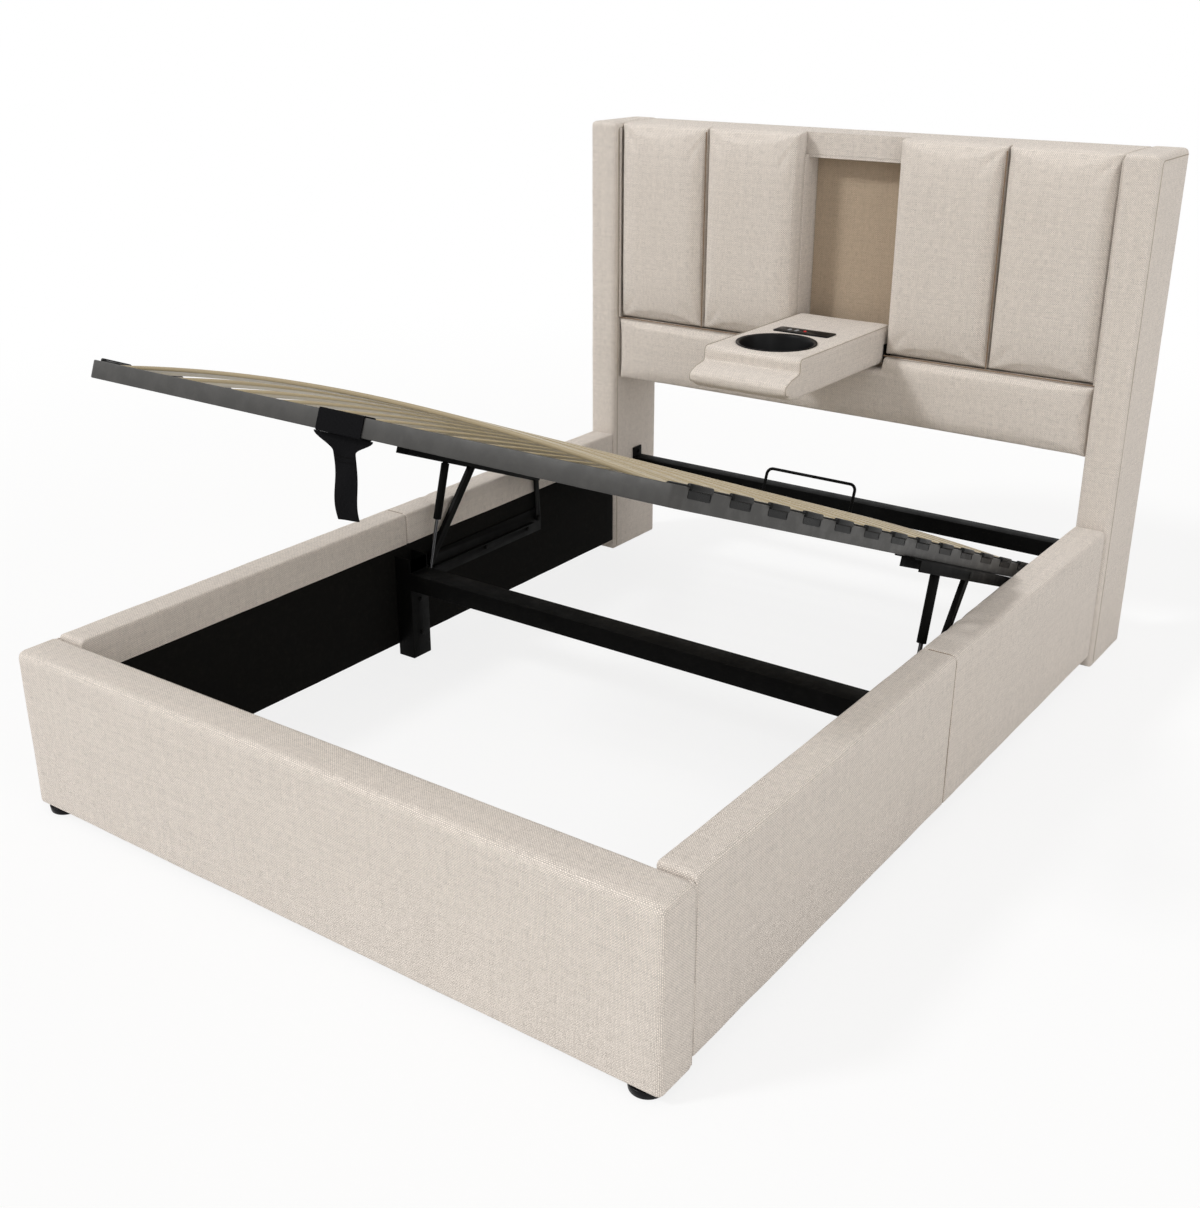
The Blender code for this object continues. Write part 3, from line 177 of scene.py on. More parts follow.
def both(*tests):
    return lambda a, b: all(test(a, b) for test in tests)


def soften(item, groups, segments=5):
    """Round groups of edges, each group with its own radius; a later group wins."""
    mesh = item.data
    widest = max(radius for test, radius in groups)
    weights = mesh.attributes.new("bevel_weight_edge", "FLOAT", "EDGE")
    for edge, weight in zip(mesh.edges, weights.data):
        a, b = (mesh.vertices[k].co for k in edge.vertices)
        for test, radius in groups:
            if test(a, b):
                weight.value = radius / widest
    apply_modifier(item, "BEVEL", limit_method="WEIGHT", width=widest, segments=segments,
                   use_clamp_overlap=False)
    left = item.data.attributes.get("bevel_weight_edge")
    if left:
        item.data.attributes.remove(left)


def slice_up(item, axis, step):
    """Even cuts right through a piece, so that it can be shaped."""
    low, high = span(item, axis)
    count = max(1, round((high - low) / step))
    pick(item, "faces", lambda face: True)
    normal = Vector((0, 0, 0))
    normal[axis] = 1
    for k in range(1, count):
        bpy.ops.mesh.select_all(action="SELECT")
        bpy.ops.mesh.bisect(plane_co=normal * (low + (high - low) * k / count), plane_no=normal)
    close()


def cut(item, *tools):
    """Take tool pieces out of a piece."""
    for tool in tools:
        apply_modifier(item, "BOOLEAN", object=tool, operation="DIFFERENCE", solver="EXACT")
        discard(tool)


def uneven(item, depth, size, seed):
    """Slight hollows, as cloth pulled over foam has."""
    mesh = item.data
    normals = [vertex.normal.copy() for vertex in mesh.vertices]
    shift = Vector((seed * 3.7, seed * 1.3, -seed * 2.1))
    for vertex, normal in zip(mesh.vertices, normals):
        swell = noise.noise(vertex.co / size + shift)
        swell += 0.4 * noise.noise(vertex.co * 2.7 / size - shift)
        vertex.co -= normal * depth * (0.5 + 0.5 * swell)


def lay_cloth(item):
    """A cloth map in metres, with its threads along the piece's own axes."""
    pick(item, "faces", lambda face: True)
    bpy.ops.mesh.select_all(action="SELECT")
    bpy.ops.uv.cube_project(cube_size=1.0, correct_aspect=False, clip_to_bounds=False,
                            scale_to_bounds=False)
    close()


def smooth(item, degrees=50):
    only(item)
    bpy.ops.object.shade_smooth_by_angle(angle=math.radians(degrees))
    return item


def finish(item, degrees=50):
    lay_cloth(item)
    smooth(item, degrees)


def copied(item, name, move=None):
    """A copy with its own mesh; a move that mirrors it also turns its faces out again."""
    copy = item.copy()
    copy.data = item.data.copy()
    named(copy, name)
    bpy.context.scene.collection.objects.link(copy)
    if move is not None:
        copy.data.transform(move)
        if move.determinant() < 0:
            copy.data.flip_normals()
    return copy


across_bed = Matrix.Scale(-1, 4, (1, 0, 0))
sides = (("right", 1), ("left", -1))


def mirrored(item):
    """A right-hand piece and its mirror copy, by their sides."""
    other = copied(item, item.name.replace("right", "left"), across_bed)
    return (("right", item), ("left", other))


def quarter(steps=6):
    """Angles of a quarter turn in even steps."""
    return [math.radians(90 * k / steps) for k in range(steps + 1)]


def joined(name, items):
    only(items[0])
    for item in items:
        item.select_set(True)
    bpy.ops.object.join()
    return named(bpy.context.object, name)


def put(item, looks, body, slot, *replaced):
    """Dress a piece, hang it on its body and hide the CAD parts it stands for."""
    if not isinstance(looks, (list, tuple)):
        looks = [looks]
    item.data.materials.clear()
    for look in looks:
        item.data.materials.append(look)
    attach(item, body)
    if replaced:
        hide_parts(*replaced)
    return item


def merged_copy(node, name, flat_faces=True):
    """A free copy of a CAD part, with its loose triangles made one skin."""
    item = copied(cad[node], name)
    item.parent = None
    for key in list(item.keys()):
        del item[key]
    item.hide_render = item.hide_viewport = False
    pick(item, "verts", lambda vertex: True)
    bpy.ops.mesh.select_all(action="SELECT")
    bpy.ops.mesh.remove_doubles(threshold=0.00002)
    if flat_faces:
        bpy.ops.mesh.dissolve_limited(angle_limit=math.radians(1.0))
    close()
    return item


def refined(node, name, width, segments, look, slot):
    """A CAD part with its edges eased."""
    item = merged_copy(node, name)
    ease(item, width, segments)
    finish(item, 40)
    put(item, look, cad[node]["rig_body"], slot, node)


def thread(name, runs, radius, look, body, slot, sides=3):
    """Sewn lines through lists of points."""
    curve = bpy.data.curves.new(name, "CURVE")
    curve.dimensions = "3D"
    curve.bevel_depth = radius
    curve.bevel_resolution = sides
    curve.use_fill_caps = True
    for points in runs:
        spline = curve.splines.new("POLY")
        spline.points.add(len(points) - 1)
        for point, place in zip(spline.points, points):
            point.co = (*place, 1)
    item = bpy.data.objects.new(name, curve)
    bpy.context.scene.collection.objects.link(item)
    only(item)
    bpy.ops.object.convert(target="MESH")
    item = named(bpy.context.object, name)
    finish(item, 60)
    return put(item, look, body, slot)


# --- Shader building ---
def feed(tree, socket, value):
    if isinstance(value, bpy.types.NodeSocket):
        tree.links.new(value, socket)
    elif value is not None:
        socket.default_value = value


def node(tree, kind, settings=None, **inputs):
    item = tree.nodes.new("ShaderNode" + kind)
    for key, value in (settings or {}).items():
        setattr(item, key, value)
    for key, value in inputs.items():
        feed(tree, item.inputs[key.replace("_", " ")], value)
    return item


def calc(tree, operation, *values, clamp=False):
    item = node(tree, "Math", {"operation": operation, "use_clamp": clamp})
    for socket, value in zip(item.inputs, values):
        feed(tree, socket, value)
    return item.outputs[0]


def times(tree, first, second):
    return calc(tree, "MULTIPLY", first, second)


def remap(tree, value, low, high, to_low=0.0, to_high=1.0):
    item = node(tree, "MapRange", {"interpolation_type": "SMOOTHSTEP"}, Value=value, From_Min=low,
                From_Max=high, To_Min=to_low, To_Max=to_high)
    return item.outputs[0]


def mixed(tree, share, first, second, blend="MIX"):
    item = node(tree, "Mix", {"data_type": "RGBA", "blend_type": blend})
    for index, value in ((0, share), (6, first), (7, second)):
        feed(tree, item.inputs[index], value)
    return item.outputs[2]


def blend_values(tree, share, first, second):
    item = node(tree, "Mix", {"data_type": "FLOAT"})
    for index, value in ((0, share), (2, first), (3, second)):
        feed(tree, item.inputs[index], value)
    return item.outputs[0]


def stretched(tree, parts, x, y, z=None):
    """A vector whose parts are scaled one by one; z is a plain offset or a socket."""
    item = node(tree, "CombineXYZ")
    feed(tree, item.inputs[0], times(tree, parts[0], x))
    feed(tree, item.inputs[1], times(tree, parts[1], y))
    feed(tree, item.inputs[2], z)
    return item.outputs[0]


def grainy(tree, vector, scale=1.0, detail=2.0, roughness=0.5):
    item = node(tree, "TexNoise", None, Vector=vector, Scale=scale, Detail=detail,
                Roughness=roughness)
    return item.outputs["Fac"]


def ramp(tree, value, stops):
    item = node(tree, "ValToRGB", None, Fac=value)
    edges = item.color_ramp.elements
    while len(edges) < len(stops):
        edges.new(0.5)
    for edge, (place, colour) in zip(edges, stops):
        edge.position = place
        edge.color = (*colour, 1)
    return item.outputs["Color"]


def spot(tree, kind="Object"):
    return node(tree, "TexCoord").outputs[kind]


def split(tree, vector):
    return node(tree, "SeparateXYZ", None, Vector=vector).outputs


def fixed(shader, **values):
    for key, value in values.items():
        shader.inputs[key.replace("_", " ")].default_value = value


def group(name, inputs, outputs):
    tree = bpy.data.node_groups.new(name, "ShaderNodeTree")
    kinds = {"v": "NodeSocketVector", "f": "NodeSocketFloat", "c": "NodeSocketColor"}
    for label, kind, value in inputs:
        socket = tree.interface.new_socket(label, in_out="INPUT", socket_type=kinds[kind])
        if value is not None:
            socket.default_value = value
    for label, kind in outputs:
        tree.interface.new_socket(label, in_out="OUTPUT", socket_type=kinds[kind])
    return tree, tree.nodes.new("NodeGroupInput").outputs, tree.nodes.new("NodeGroupOutput").inputs


def use(tree, effect, **inputs):
    item = tree.nodes.new("ShaderNodeGroup")
    item.node_tree = effect
    for key, value in inputs.items():
        feed(tree, item.inputs[key.replace("_", " ")], value)
    return item.outputs


def material(name):
    look = bpy.data.materials.new(name)
    look.use_nodes = True
    return look, look.node_tree, look.node_tree.nodes["Principled BSDF"]


def relief(tree, shader, height, depth, strength=1.0, under=None):
    item = node(tree, "Bump", None, Height=height, Distance=depth, Strength=strength)
    if under is not None:
        tree.links.new(under, item.inputs["Normal"])
    tree.links.new(item.outputs[0], shader.inputs["Normal"])
    return item.outputs[0]


def make_woven_threads():
    """Plain weave: which thread is on top, its own shade along its length, and its height."""
    tree, given, out = group("woven_threads",
                             [("Vector", "v", None), ("Pitch", "f", 0.0022), ("Slub", "f", 0.5)],
                             [("Tone", "f"), ("Height", "f")])
    scaled = node(tree, "VectorMath", {"operation": "SCALE"}, Vector=given["Vector"],
                  Scale=calc(tree, "DIVIDE", 1.0, given["Pitch"])).outputs[0]
    parts = split(tree, scaled)
    waves = [calc(tree, "SINE", times(tree, part, math.pi)) for part in parts[:2]]
    crossing = times(tree, *waves)
    over = remap(tree, crossing, -0.25, 0.25)
    warp = grainy(tree, stretched(tree, parts, 1.0, 0.14, 3.0))
    weft = grainy(tree, stretched(tree, parts, 0.14, 1.0, 9.0))
    threads = blend_values(tree, over, weft, warp)
    upright = grainy(tree, stretched(tree, parts, 0.27, 0.010, 21.0), detail=3.0)
    level = grainy(tree, stretched(tree, parts, 0.010, 0.27, 33.0), detail=3.0)
    slubs = times(tree, calc(tree, "ADD", upright, level), 0.5)
    tone = blend_values(tree, given["Slub"], threads, slubs)
    feed(tree, out["Tone"], calc(tree, "MULTIPLY_ADD", over, 0.07, tone))
    round_top = calc(tree, "POWER", calc(tree, "ABSOLUTE", crossing), 0.5)
    feed(tree, out["Height"],
         times(tree, round_top, calc(tree, "MULTIPLY_ADD", over, 0.45, 0.55)))
    return tree


def make_mottle():
    """Slow change of a surface from place to place, about 0.5."""
    tree, given, out = group("mottle", [("Size", "f", 0.2)], [("Mask", "f")])
    rate = calc(tree, "DIVIDE", 1.0, given["Size"])
    feed(tree, out["Mask"], grainy(tree, spot(tree), scale=rate, detail=3.0))
    return tree


def make_dust():
    """Dust that lies on what faces up."""
    tree, given, out = group("settled_dust", [("Amount", "f", 0.3)], [("Mask", "f")])
    up = split(tree, node(tree, "NewGeometry").outputs["Normal"])["Z"]
    facing = remap(tree, up, 0.35, 0.95)
    specks = grainy(tree, spot(tree), scale=38.0, detail=6.0, roughness=0.7)
    lying = remap(tree, specks, 0.42, 0.68)
    feed(tree, out["Mask"],
         times(tree, times(tree, facing, lying), given["Amount"]))
    return tree


def make_fine_grain():
    """The small pimples of powder coat and moulded plastic."""
    tree, given, out = group("fine_grain", [("Size", "f", 0.001)], [("Height", "f"), ("Wear", "f")])
    place = spot(tree)
    rate = calc(tree, "DIVIDE", 1.0, given["Size"])
    feed(tree, out["Height"], grainy(tree, place, scale=rate, detail=2.0))
    rubs = grainy(tree, place, scale=22.0, detail=5.0, roughness=0.65)
    feed(tree, out["Wear"], remap(tree, rubs, 0.40, 0.66))
    return tree


woven_threads = make_woven_threads()
mottle = make_mottle()
settled_dust = make_dust()
fine_grain = make_fine_grain()


def make_linen(name, base):
    """Coarse linen: a base colour, lighter and darker from thread to thread, with painted shade in
    the low gaps between the threads.
    """
    look, tree, shader = material(name)
    weave = use(tree, woven_threads, Vector=spot(tree, "UV"), Pitch=0.0027, Slub=0.30)
    stops = ((0.33, 0.70), (0.46, 0.93), (0.57, 1.06), (0.74, 1.22))
    colour = ramp(tree, weave["Tone"],
                  [(place, tuple(part * share for part in base)) for place, share in stops])
    # Painted shade: the colour is darkened where the weave is low, between the threads
    shade = remap(tree, weave["Height"], 0.06, 0.78, 0.56, 1.13)
    colour = mixed(tree, 1.0, colour, shade, "MULTIPLY")
    slow = use(tree, mottle, Size=0.45)["Mask"]
    colour = mixed(tree, remap(tree, slow, 0.3, 0.7, 0.0, 0.10), colour,
                   (base[0] * 0.93, base[1] * 0.90, base[2] * 0.86, 1))
    feed(tree, shader.inputs["Base Color"], colour)
    fixed(shader, Roughness=0.93, Specular_IOR_Level=0.25, Sheen_Weight=0.18,
          Sheen_Roughness=0.45)
    folds = relief(tree, shader, use(tree, mottle, Size=0.09)["Mask"], 0.0010, 0.30)
    relief(tree, shader, weave["Height"], 0.0016, 1.0, folds)
    return look


def make_seam_look(name, colour):
    """Twisted sewing thread."""
    look, tree, shader = material(name)
    place = split(tree, spot(tree))
    lay = calc(tree, "SINE", times(tree, calc(tree, "ADD", place[1], place[2]), 2600.0))
    darker = tuple(0.55 * part for part in colour)
    feed(tree, shader.inputs["Base Color"],
         ramp(tree, calc(tree, "MULTIPLY_ADD", lay, 0.5, 0.5), [(0.0, darker), (0.8, colour)]))
    fixed(shader, Roughness=0.9)
    relief(tree, shader, lay, 0.0003, 0.6)
    return look


def make_lining():
    look, tree, shader = material("black_lining")
    weave = use(tree, woven_threads, Vector=spot(tree, "UV"), Pitch=0.0011, Slub=0.3)
    fluff = use(tree, mottle, Size=0.012)["Mask"]
    colour = ramp(tree, weave["Tone"],
                  [(0.3, (0.0015, 0.0015, 0.0014)), (0.7, (0.006, 0.0057, 0.005))])
    feed(tree, shader.inputs["Base Color"],
         mixed(tree, remap(tree, fluff, 0.45, 0.8, 0.0, 0.30), colour, (0.014, 0.013, 0.011, 1)))
    fixed(shader, Roughness=0.92, Specular_IOR_Level=0.08)
    relief(tree, shader, weave["Height"], 0.0003, 0.5)
    return look


def make_slat_wood(name, light, dark, plies):
    """Satin bent laminate; its edge shows the plies."""
    look, tree, shader = material(name)
    parts = split(tree, spot(tree, "UV"))
    own = times(tree, split(tree, spot(tree))[1], 7.0)
    grain = grainy(tree, stretched(tree, parts, 1.6, 44.0, own), detail=3.0, roughness=0.5)
    pores = grainy(tree, stretched(tree, parts, 26.0, 950.0, own), detail=2.0)
    tone = calc(tree, "ADD", times(tree, grain, 0.94), times(tree, pores, 0.06))
    middle = tuple((a + b) / 2 for a, b in zip(light, dark))
    colour = ramp(tree, tone, [(0.36, dark), (0.50, middle), (0.64, light)])
    height = pores
    if plies:
        lines = calc(tree, "SINE", times(tree, parts[1], 2 * math.pi / 0.0015))
        lines = remap(tree, lines, -0.2, 0.5)
        colour = mixed(tree, lines, mixed(tree, 0.45, colour, (0.20, 0.14, 0.075, 1)), colour)
        height = lines
    feed(tree, shader.inputs["Base Color"], colour)
    feed(tree, shader.inputs["Roughness"], remap(tree, grain, 0.3, 0.7, 0.34, 0.46))
    fixed(shader, Specular_IOR_Level=0.28)
    relief(tree, shader, height, 0.00012, 0.2)
    return look


def make_coated(name, colour, lighter, rough, grain, dust, depth=0.0001, gloss=0.30):
    """Powder coat or moulded plastic with rubbed places and a little dust."""
    look, tree, shader = material(name)
    surface = use(tree, fine_grain, Size=grain)
    lying = use(tree, settled_dust, Amount=dust)["Mask"]
    tint = mixed(tree, times(tree, surface["Wear"], 0.5), (*colour, 1), (*lighter, 1))
    tint = mixed(tree, times(tree, surface["Height"], 0.35), tint, (*lighter, 1))
    feed(tree, shader.inputs["Base Color"], mixed(tree, lying, tint, (0.30, 0.29, 0.27, 1)))
    worn = calc(tree, "MULTIPLY_ADD", surface["Wear"], -0.10, rough + 0.04)
    feed(tree, shader.inputs["Roughness"], calc(tree, "MULTIPLY_ADD", lying, 0.3, worn))
    fixed(shader, Specular_IOR_Level=gloss)
    relief(tree, shader, surface["Height"], depth, 0.6)
    return look


def make_bright_rod():
    """Drawn steel rod, dark as in the photograph."""
    look, tree, shader = material("bright_steel")
    place = split(tree, spot(tree))
    rings = grainy(tree, stretched(tree, (place[0], place[2]), 40.0, 2600.0, place[1]), detail=2.0)
    feed(tree, shader.inputs["Base Color"],
         ramp(tree, rings, [(0.3, (0.055, 0.055, 0.058)), (0.7, (0.085, 0.085, 0.088))]))
    feed(tree, shader.inputs["Roughness"], remap(tree, rings, 0.3, 0.7, 0.16, 0.28))
    fixed(shader, Metallic=1.0)
    return look


def make_webbing():
    """Flat woven strap with close ribs along it."""
    look, tree, shader = material("webbing")
    parts = split(tree, spot(tree, "UV"))
    ribs = calc(tree, "SINE", times(tree, parts[0], 2 * math.pi / 0.0030))
    picks = calc(tree, "SINE", times(tree, parts[1], 2 * math.pi / 0.0016))
    height = calc(tree, "ADD", times(tree, ribs, 0.5), times(tree, picks, 0.3))
    fluff = grainy(tree, stretched(tree, parts, 300.0, 900.0, 4.0), detail=3.0)
    tone = calc(tree, "MULTIPLY_ADD", height, 0.25, fluff)
    feed(tree, shader.inputs["Base Color"],
         ramp(tree, tone, [(0.3, (0.002, 0.002, 0.0025)), (0.8, (0.010, 0.010, 0.011))]))
    fixed(shader, Roughness=0.8, Specular_IOR_Level=0.04)
    relief(tree, shader, height, 0.0005, 0.7)
    return look


linen = make_linen("linen", (0.845, 0.772, 0.702))
# Darker, browner linen for the back wall of the niche: painted shade of the deep niche
niche_linen = make_linen("niche_linen", (0.57, 0.45, 0.33))
# Dark brown thread laid deep in seam grooves: a real seam whose dark colour is painted shade of the
# groove
seam_brown = make_seam_look("seam_brown", (0.27, 0.185, 0.12))
seam_linen = make_seam_look("seam_linen", (0.50, 0.43, 0.35))
black_lining = make_lining()
slat_face = make_slat_wood("slat_wood", (0.44, 0.375, 0.25), (0.395, 0.33, 0.215), False)
# The edge colours are darker than the face colours: painted shade on the slats' edges; the ply
# lines on them are the laminate's own
slat_edge = make_slat_wood("slat_edge", (0.35, 0.29, 0.18), (0.31, 0.255, 0.155), True)
grey_steel = make_coated("grey_steel", (0.036, 0.035, 0.033), (0.060, 0.058, 0.055), 0.46,
                         0.0011, 0.06)
black_steel = make_coated("black_steel", (0.0026, 0.0026, 0.0025), (0.006, 0.006, 0.0058), 0.46,
                          0.0012, 0.002, gloss=0.03)
bright_steel = make_bright_rod()
black_plastic = make_coated("black_plastic", (0.0035, 0.0035, 0.0038), (0.009, 0.009, 0.0095),
                            0.34, 0.0009, 0.004, 0.00006, 0.10)
holder_plastic = make_coated("holder_plastic", (0.005, 0.005, 0.005), (0.012, 0.012, 0.012), 0.32,
                             0.0012, 0.004, 0.00008, 0.08)
port_grey = make_coated("port_grey", (0.34, 0.34, 0.35), (0.44, 0.44, 0.45), 0.42, 0.0007, 0.0,
                        0.00005)
button_red = make_coated("button_red", (0.52, 0.018, 0.020), (0.62, 0.05, 0.05), 0.30, 0.0006,
                         0.0, 0.00003)
webbing = make_webbing()


# --- Footboard, rails and wings ---
def make_footboard():
    low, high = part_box("footboard_cover")
    item = block("footboard_upholstery", low, high)
    soften(item, [(at(Z, low.z), 0.010), (along(Z), 0.016), (at(Z, high.z), 0.020)])
    slice_up(item, X, 0.030)
    slice_up(item, Z, 0.030)
    uneven(item, 0.0016, 0.16, 1)
    finish(item)
    put(item, linen, "bed", "linen", "footboard_cover", "footboard_core")

    # Welt along the back edge of each end, up and round onto the top
    back, bend, sunk = high.y - 0.006, 0.014, 0.0052
    x, top = high.x - sunk, high.z - sunk
    path = [(x, low.z + 0.008)]
    path += [(x - bend * (1 - math.cos(a)), top - bend * (1 - math.sin(a))) for a in quarter()]
    for side, sign in sides:
        thread(f"footboard_welt_{side}", [[(sign * a, back, b) for a, b in path]], 0.0026, linen,
               "bed", "linen", 3)


dent_places = (0.10, 0.18)
dent_reach = 0.016
dent_depth = 0.0034


def make_rails():
    """Each rail has two halves; the head half has two soft dents across its top."""
    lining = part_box("rail_lining_right")[1]
    spare = 0.01
    for end, seed in (("foot", 2), ("head", 5)):
        low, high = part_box(f"rail_cover_right_{end}")
        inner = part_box("rail_core_right")[0].x
        low.x = min(low.x, inner)
        item = block(f"rail_upholstery_right_{end}", low, high)
        cut(item, block("lining_space", (low.x - spare, low.y - spare, low.z - spare),
                        (lining.x + 0.0004, high.y + spare, lining.z + 0.0004)))
        soften(item, [(at(Z, low.z), 0.005), (at(Y, low.y), 0.006), (at(Y, high.y), 0.006),
                      (both(at(Z, high.z), at(Y, low.y if end == "foot" else high.y)), 0.013),
                      (both(at(Z, high.z), at(X, low.x)), 0.009),
                      (both(at(Z, high.z), at(X, high.x)), 0.019)])
        slice_up(item, Y, 0.012)
        slice_up(item, Z, 0.030)
        slice_up(item, X, 0.028)
        uneven(item, 0.0016, 0.13, seed)
        if end == "head":
            for vertex in item.data.vertices:
                near_top = max(0.0, 1 - (high.z - vertex.co.z) / 0.03)
                across = 0.3 * (vertex.co.x - low.x)
                for dent in dent_places:
                    reach = (vertex.co.y - dent - across) / dent_reach
                    vertex.co.z -= dent_depth * near_top * math.exp(-reach * reach)
        finish(item)
        for side, piece in mirrored(item):
            core = [f"rail_core_{side}"] if end == "foot" else []
            put(piece, linen, "bed", "linen", f"rail_cover_{side}_{end}", *core)


def make_rail_seams():
    """Seam between the two halves of each rail, up the outside, over and down the inside."""
    low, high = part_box("rail_cover_right_foot")
    y = (high.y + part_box("rail_cover_right_head")[0].y) / 2
    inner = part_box("rail_core_right")[0].x
    sunk, wide, tight, lining_top = 0.0034, 0.0156, 0.0056, 0.317
    out, back, top = high.x - sunk, inner + sunk, high.z - sunk
    path = [(out, low.z + 0.004)]
    path += [(out - wide * (1 - math.cos(a)), top - wide * (1 - math.sin(a))) for a in quarter()]
    path += [(back + tight * (1 - math.sin(a)), top - tight * (1 - math.cos(a)))
             for a in quarter(3)]
    path.append((back, lining_top))
    for side, sign in sides:
        # The dark brown thread paints the shade of the groove along the seam
        thread(f"rail_seam_{side}", [[(sign * x, y, z) for x, z in path]], 0.0018, seam_brown,
               "bed", "linen", 2)


def make_rail_linings():
    low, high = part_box("rail_lining_right")
    item = block("side_lining_right", low, high)
    soften(item, [(lambda a, b: True, 0.0015)], 2)
    slice_up(item, Y, 0.04)
    slice_up(item, Z, 0.04)
    uneven(item, 0.0012, 0.09, 8)
    finish(item)
    for side, piece in mirrored(item):
        put(piece, black_lining, "bed", "black_lining", f"rail_lining_{side}")


def make_wings():
    low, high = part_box("wing_cover_right")
    item = block("wing_upholstery_right", low, high)
    soften(item, [(at(Z, low.z), 0.004), (at(Y, high.y), 0.008),
                  (both(along(Z), at(Y, low.y)), 0.018), (at(Z, high.z), 0.015)])
    slice_up(item, Z, 0.030)
    slice_up(item, Y, 0.030)
    slice_up(item, X, 0.028)
    uneven(item, 0.0015, 0.15, 11)
    finish(item)
    for side, piece in mirrored(item):
        put(piece, linen, "bed", "linen", f"wing_cover_{side}")

    # Sewn edge of the flat side panel, up the front and back along the top
    front, top, bend, sunk = low.y + 0.019, high.z - 0.017, 0.012, 0.0012
    for side, sign in sides:
        runs = []
        for x in (high.x - sunk, low.x + sunk):
            corner = [(sign * x, front + bend * (1 - math.cos(a)), top - bend * (1 - math.sin(a)))
                      for a in quarter()]
            runs.append([(sign * x, front, 0.01)] + corner + [(sign * x, high.y - 0.010, top)])
        thread(f"wing_seam_{side}", runs, 0.0017, seam_linen, "bed", "linen", 2)


make_footboard()
make_rails()
make_rail_seams()
make_rail_linings()
make_wings()


# --- Headboard ---
niche_half = 0.152
niche_board = 0.008
niche_back = 1.108
niche_floor = 0.7375
lintel_bottom = 1.297
lintel_front = 1.0528
panel_front = 1.0336
panel_half = 0.7604
panel_bottom = 0.5835
panel_top = 1.366
head_back = 1.2018
cutter_front = 1.0
cutter_top = 1.4


def make_headboard_back():
    outer = niche_half + niche_board + gap
    item = block("headboard_back", (-panel_half, panel_front, panel_bottom),
                 (panel_half, head_back, panel_top))
    cut(item,
        block("niche_space", (-outer, cutter_front, niche_floor - niche_board - gap),
              (outer, niche_back + niche_board + gap, lintel_bottom + niche_board + gap)),
        block("lintel_space", (-outer, cutter_front, lintel_bottom),
              (outer, lintel_front, cutter_top)))
    soften(item, [(both(at(Z, panel_top), at(Y, lintel_front)), 0.012),
                  (both(at(Z, panel_top), at(Y, panel_front)), 0.004),
                  (both(at(Z, panel_top), at(Y, head_back)), 0.012)], 4)
    finish(item, 40)
    put(item, linen, "bed", "linen", "headboard_back_cover", "headboard_frame")


def make_niche():
    """Lined box of the niche, open to the front; the folded armrest passes under its lintel."""
    item = block("niche_upholstery",
                 (-niche_half - niche_board, panel_front + gap, niche_floor - niche_board),
                 (niche_half + niche_board, niche_back + niche_board, lintel_bottom + niche_board))
    pick(item, "faces", lambda face: face.normal.y < -0.9)
    bpy.ops.mesh.inset(thickness=niche_board)
    extrude(0, niche_back - panel_front - gap, 0)
    close()
    inner = lambda a, b: max(abs(a.x), abs(b.x)) < niche_half + 0.001
    front = at(Y, panel_front + gap)
    inside = 0.006
    soften(item, [(both(inner, front), 0.0035), (both(inner, along(Y)), inside),
                  (both(inner, at(Y, niche_back)), inside)], 3)
    over = 0.0002
    cut(item, block("armrest_way",
                    (-niche_half - over, cutter_front, lintel_bottom - 0.0062),
                    (niche_half + over, lintel_front, cutter_top)))
    slice_up(item, Z, 0.03)
    slice_up(item, X, 0.03)
    finish(item)
    put(item, (linen, niche_linen), "bed", "linen", "niche_lining")
    # The back wall takes the darker linen, which paints the niche's shade into its colour
    for face in item.data.polygons:
        deep = face.center.y > lintel_front + niche_board
        face.material_index = 1 if face.normal.y < -0.9 and deep else 0
    corner = 0.0045
    side, deep, low, high = (niche_half - corner, niche_back - corner, niche_floor + corner,
                             lintel_bottom - corner)
    runs = [[(-side, deep, high), (-side, deep, low), (side, deep, low), (side, deep, high),
             (-side, deep, high)]]
    thread("niche_seams", runs, 0.0012, seam_linen, "bed", "linen", 2)


def pad_from(node_name, name, voxel, eased, pressure, cap, pinned):
    """A padded piece: the CAD cushion, remeshed and blown up a little as cloth."""
    item = merged_copy(node_name, name, flat_faces=False)
    item.data.remesh_voxel_size = voxel
    only(item)
    bpy.ops.object.voxel_remesh()
    apply_modifier(item, "SMOOTH", factor=0.5, iterations=eased)
    blow_up(item, pressure, cap, pinned)
    apply_modifier(item, "SMOOTH", factor=0.5, iterations=2 * eased)
    apply_modifier(item, "SUBSURF", levels=1, render_levels=1)
    return item


def blow_up(item, pressure, cap, pinned):
    """Cloth under air pressure, held where a test says so, and capped in how far it moves."""
    rest = [vertex.co.copy() for vertex in item.data.vertices]
    held = item.vertex_groups.new(name="held")
    for vertex in item.data.vertices:
        held.add([vertex.index], pinned(vertex.co), "REPLACE")
    modifier = item.modifiers.new("Cloth", "CLOTH")
    cloth = modifier.settings
    cloth.quality = 5
    cloth.mass = 0.15
    cloth.tension_stiffness = cloth.compression_stiffness = 18
    cloth.bending_stiffness = 0.8
    cloth.use_pressure = True
    cloth.uniform_pressure_force = pressure
    cloth.effector_weights.gravity = 0
    cloth.vertex_group_mass = "held"
    modifier.point_cache.frame_start = 1
    modifier.point_cache.frame_end = 20
    for frame_number in range(1, 21):
        bpy.context.scene.frame_set(frame_number)
    only(item)
    bpy.ops.object.modifier_apply(modifier=modifier.name)
    bpy.context.scene.frame_set(1)
    for vertex, start in zip(item.data.vertices, rest):
        move = vertex.co - start
        if move.length > cap:
            vertex.co = start + move * (cap / move.length)
    item.vertex_groups.clear()


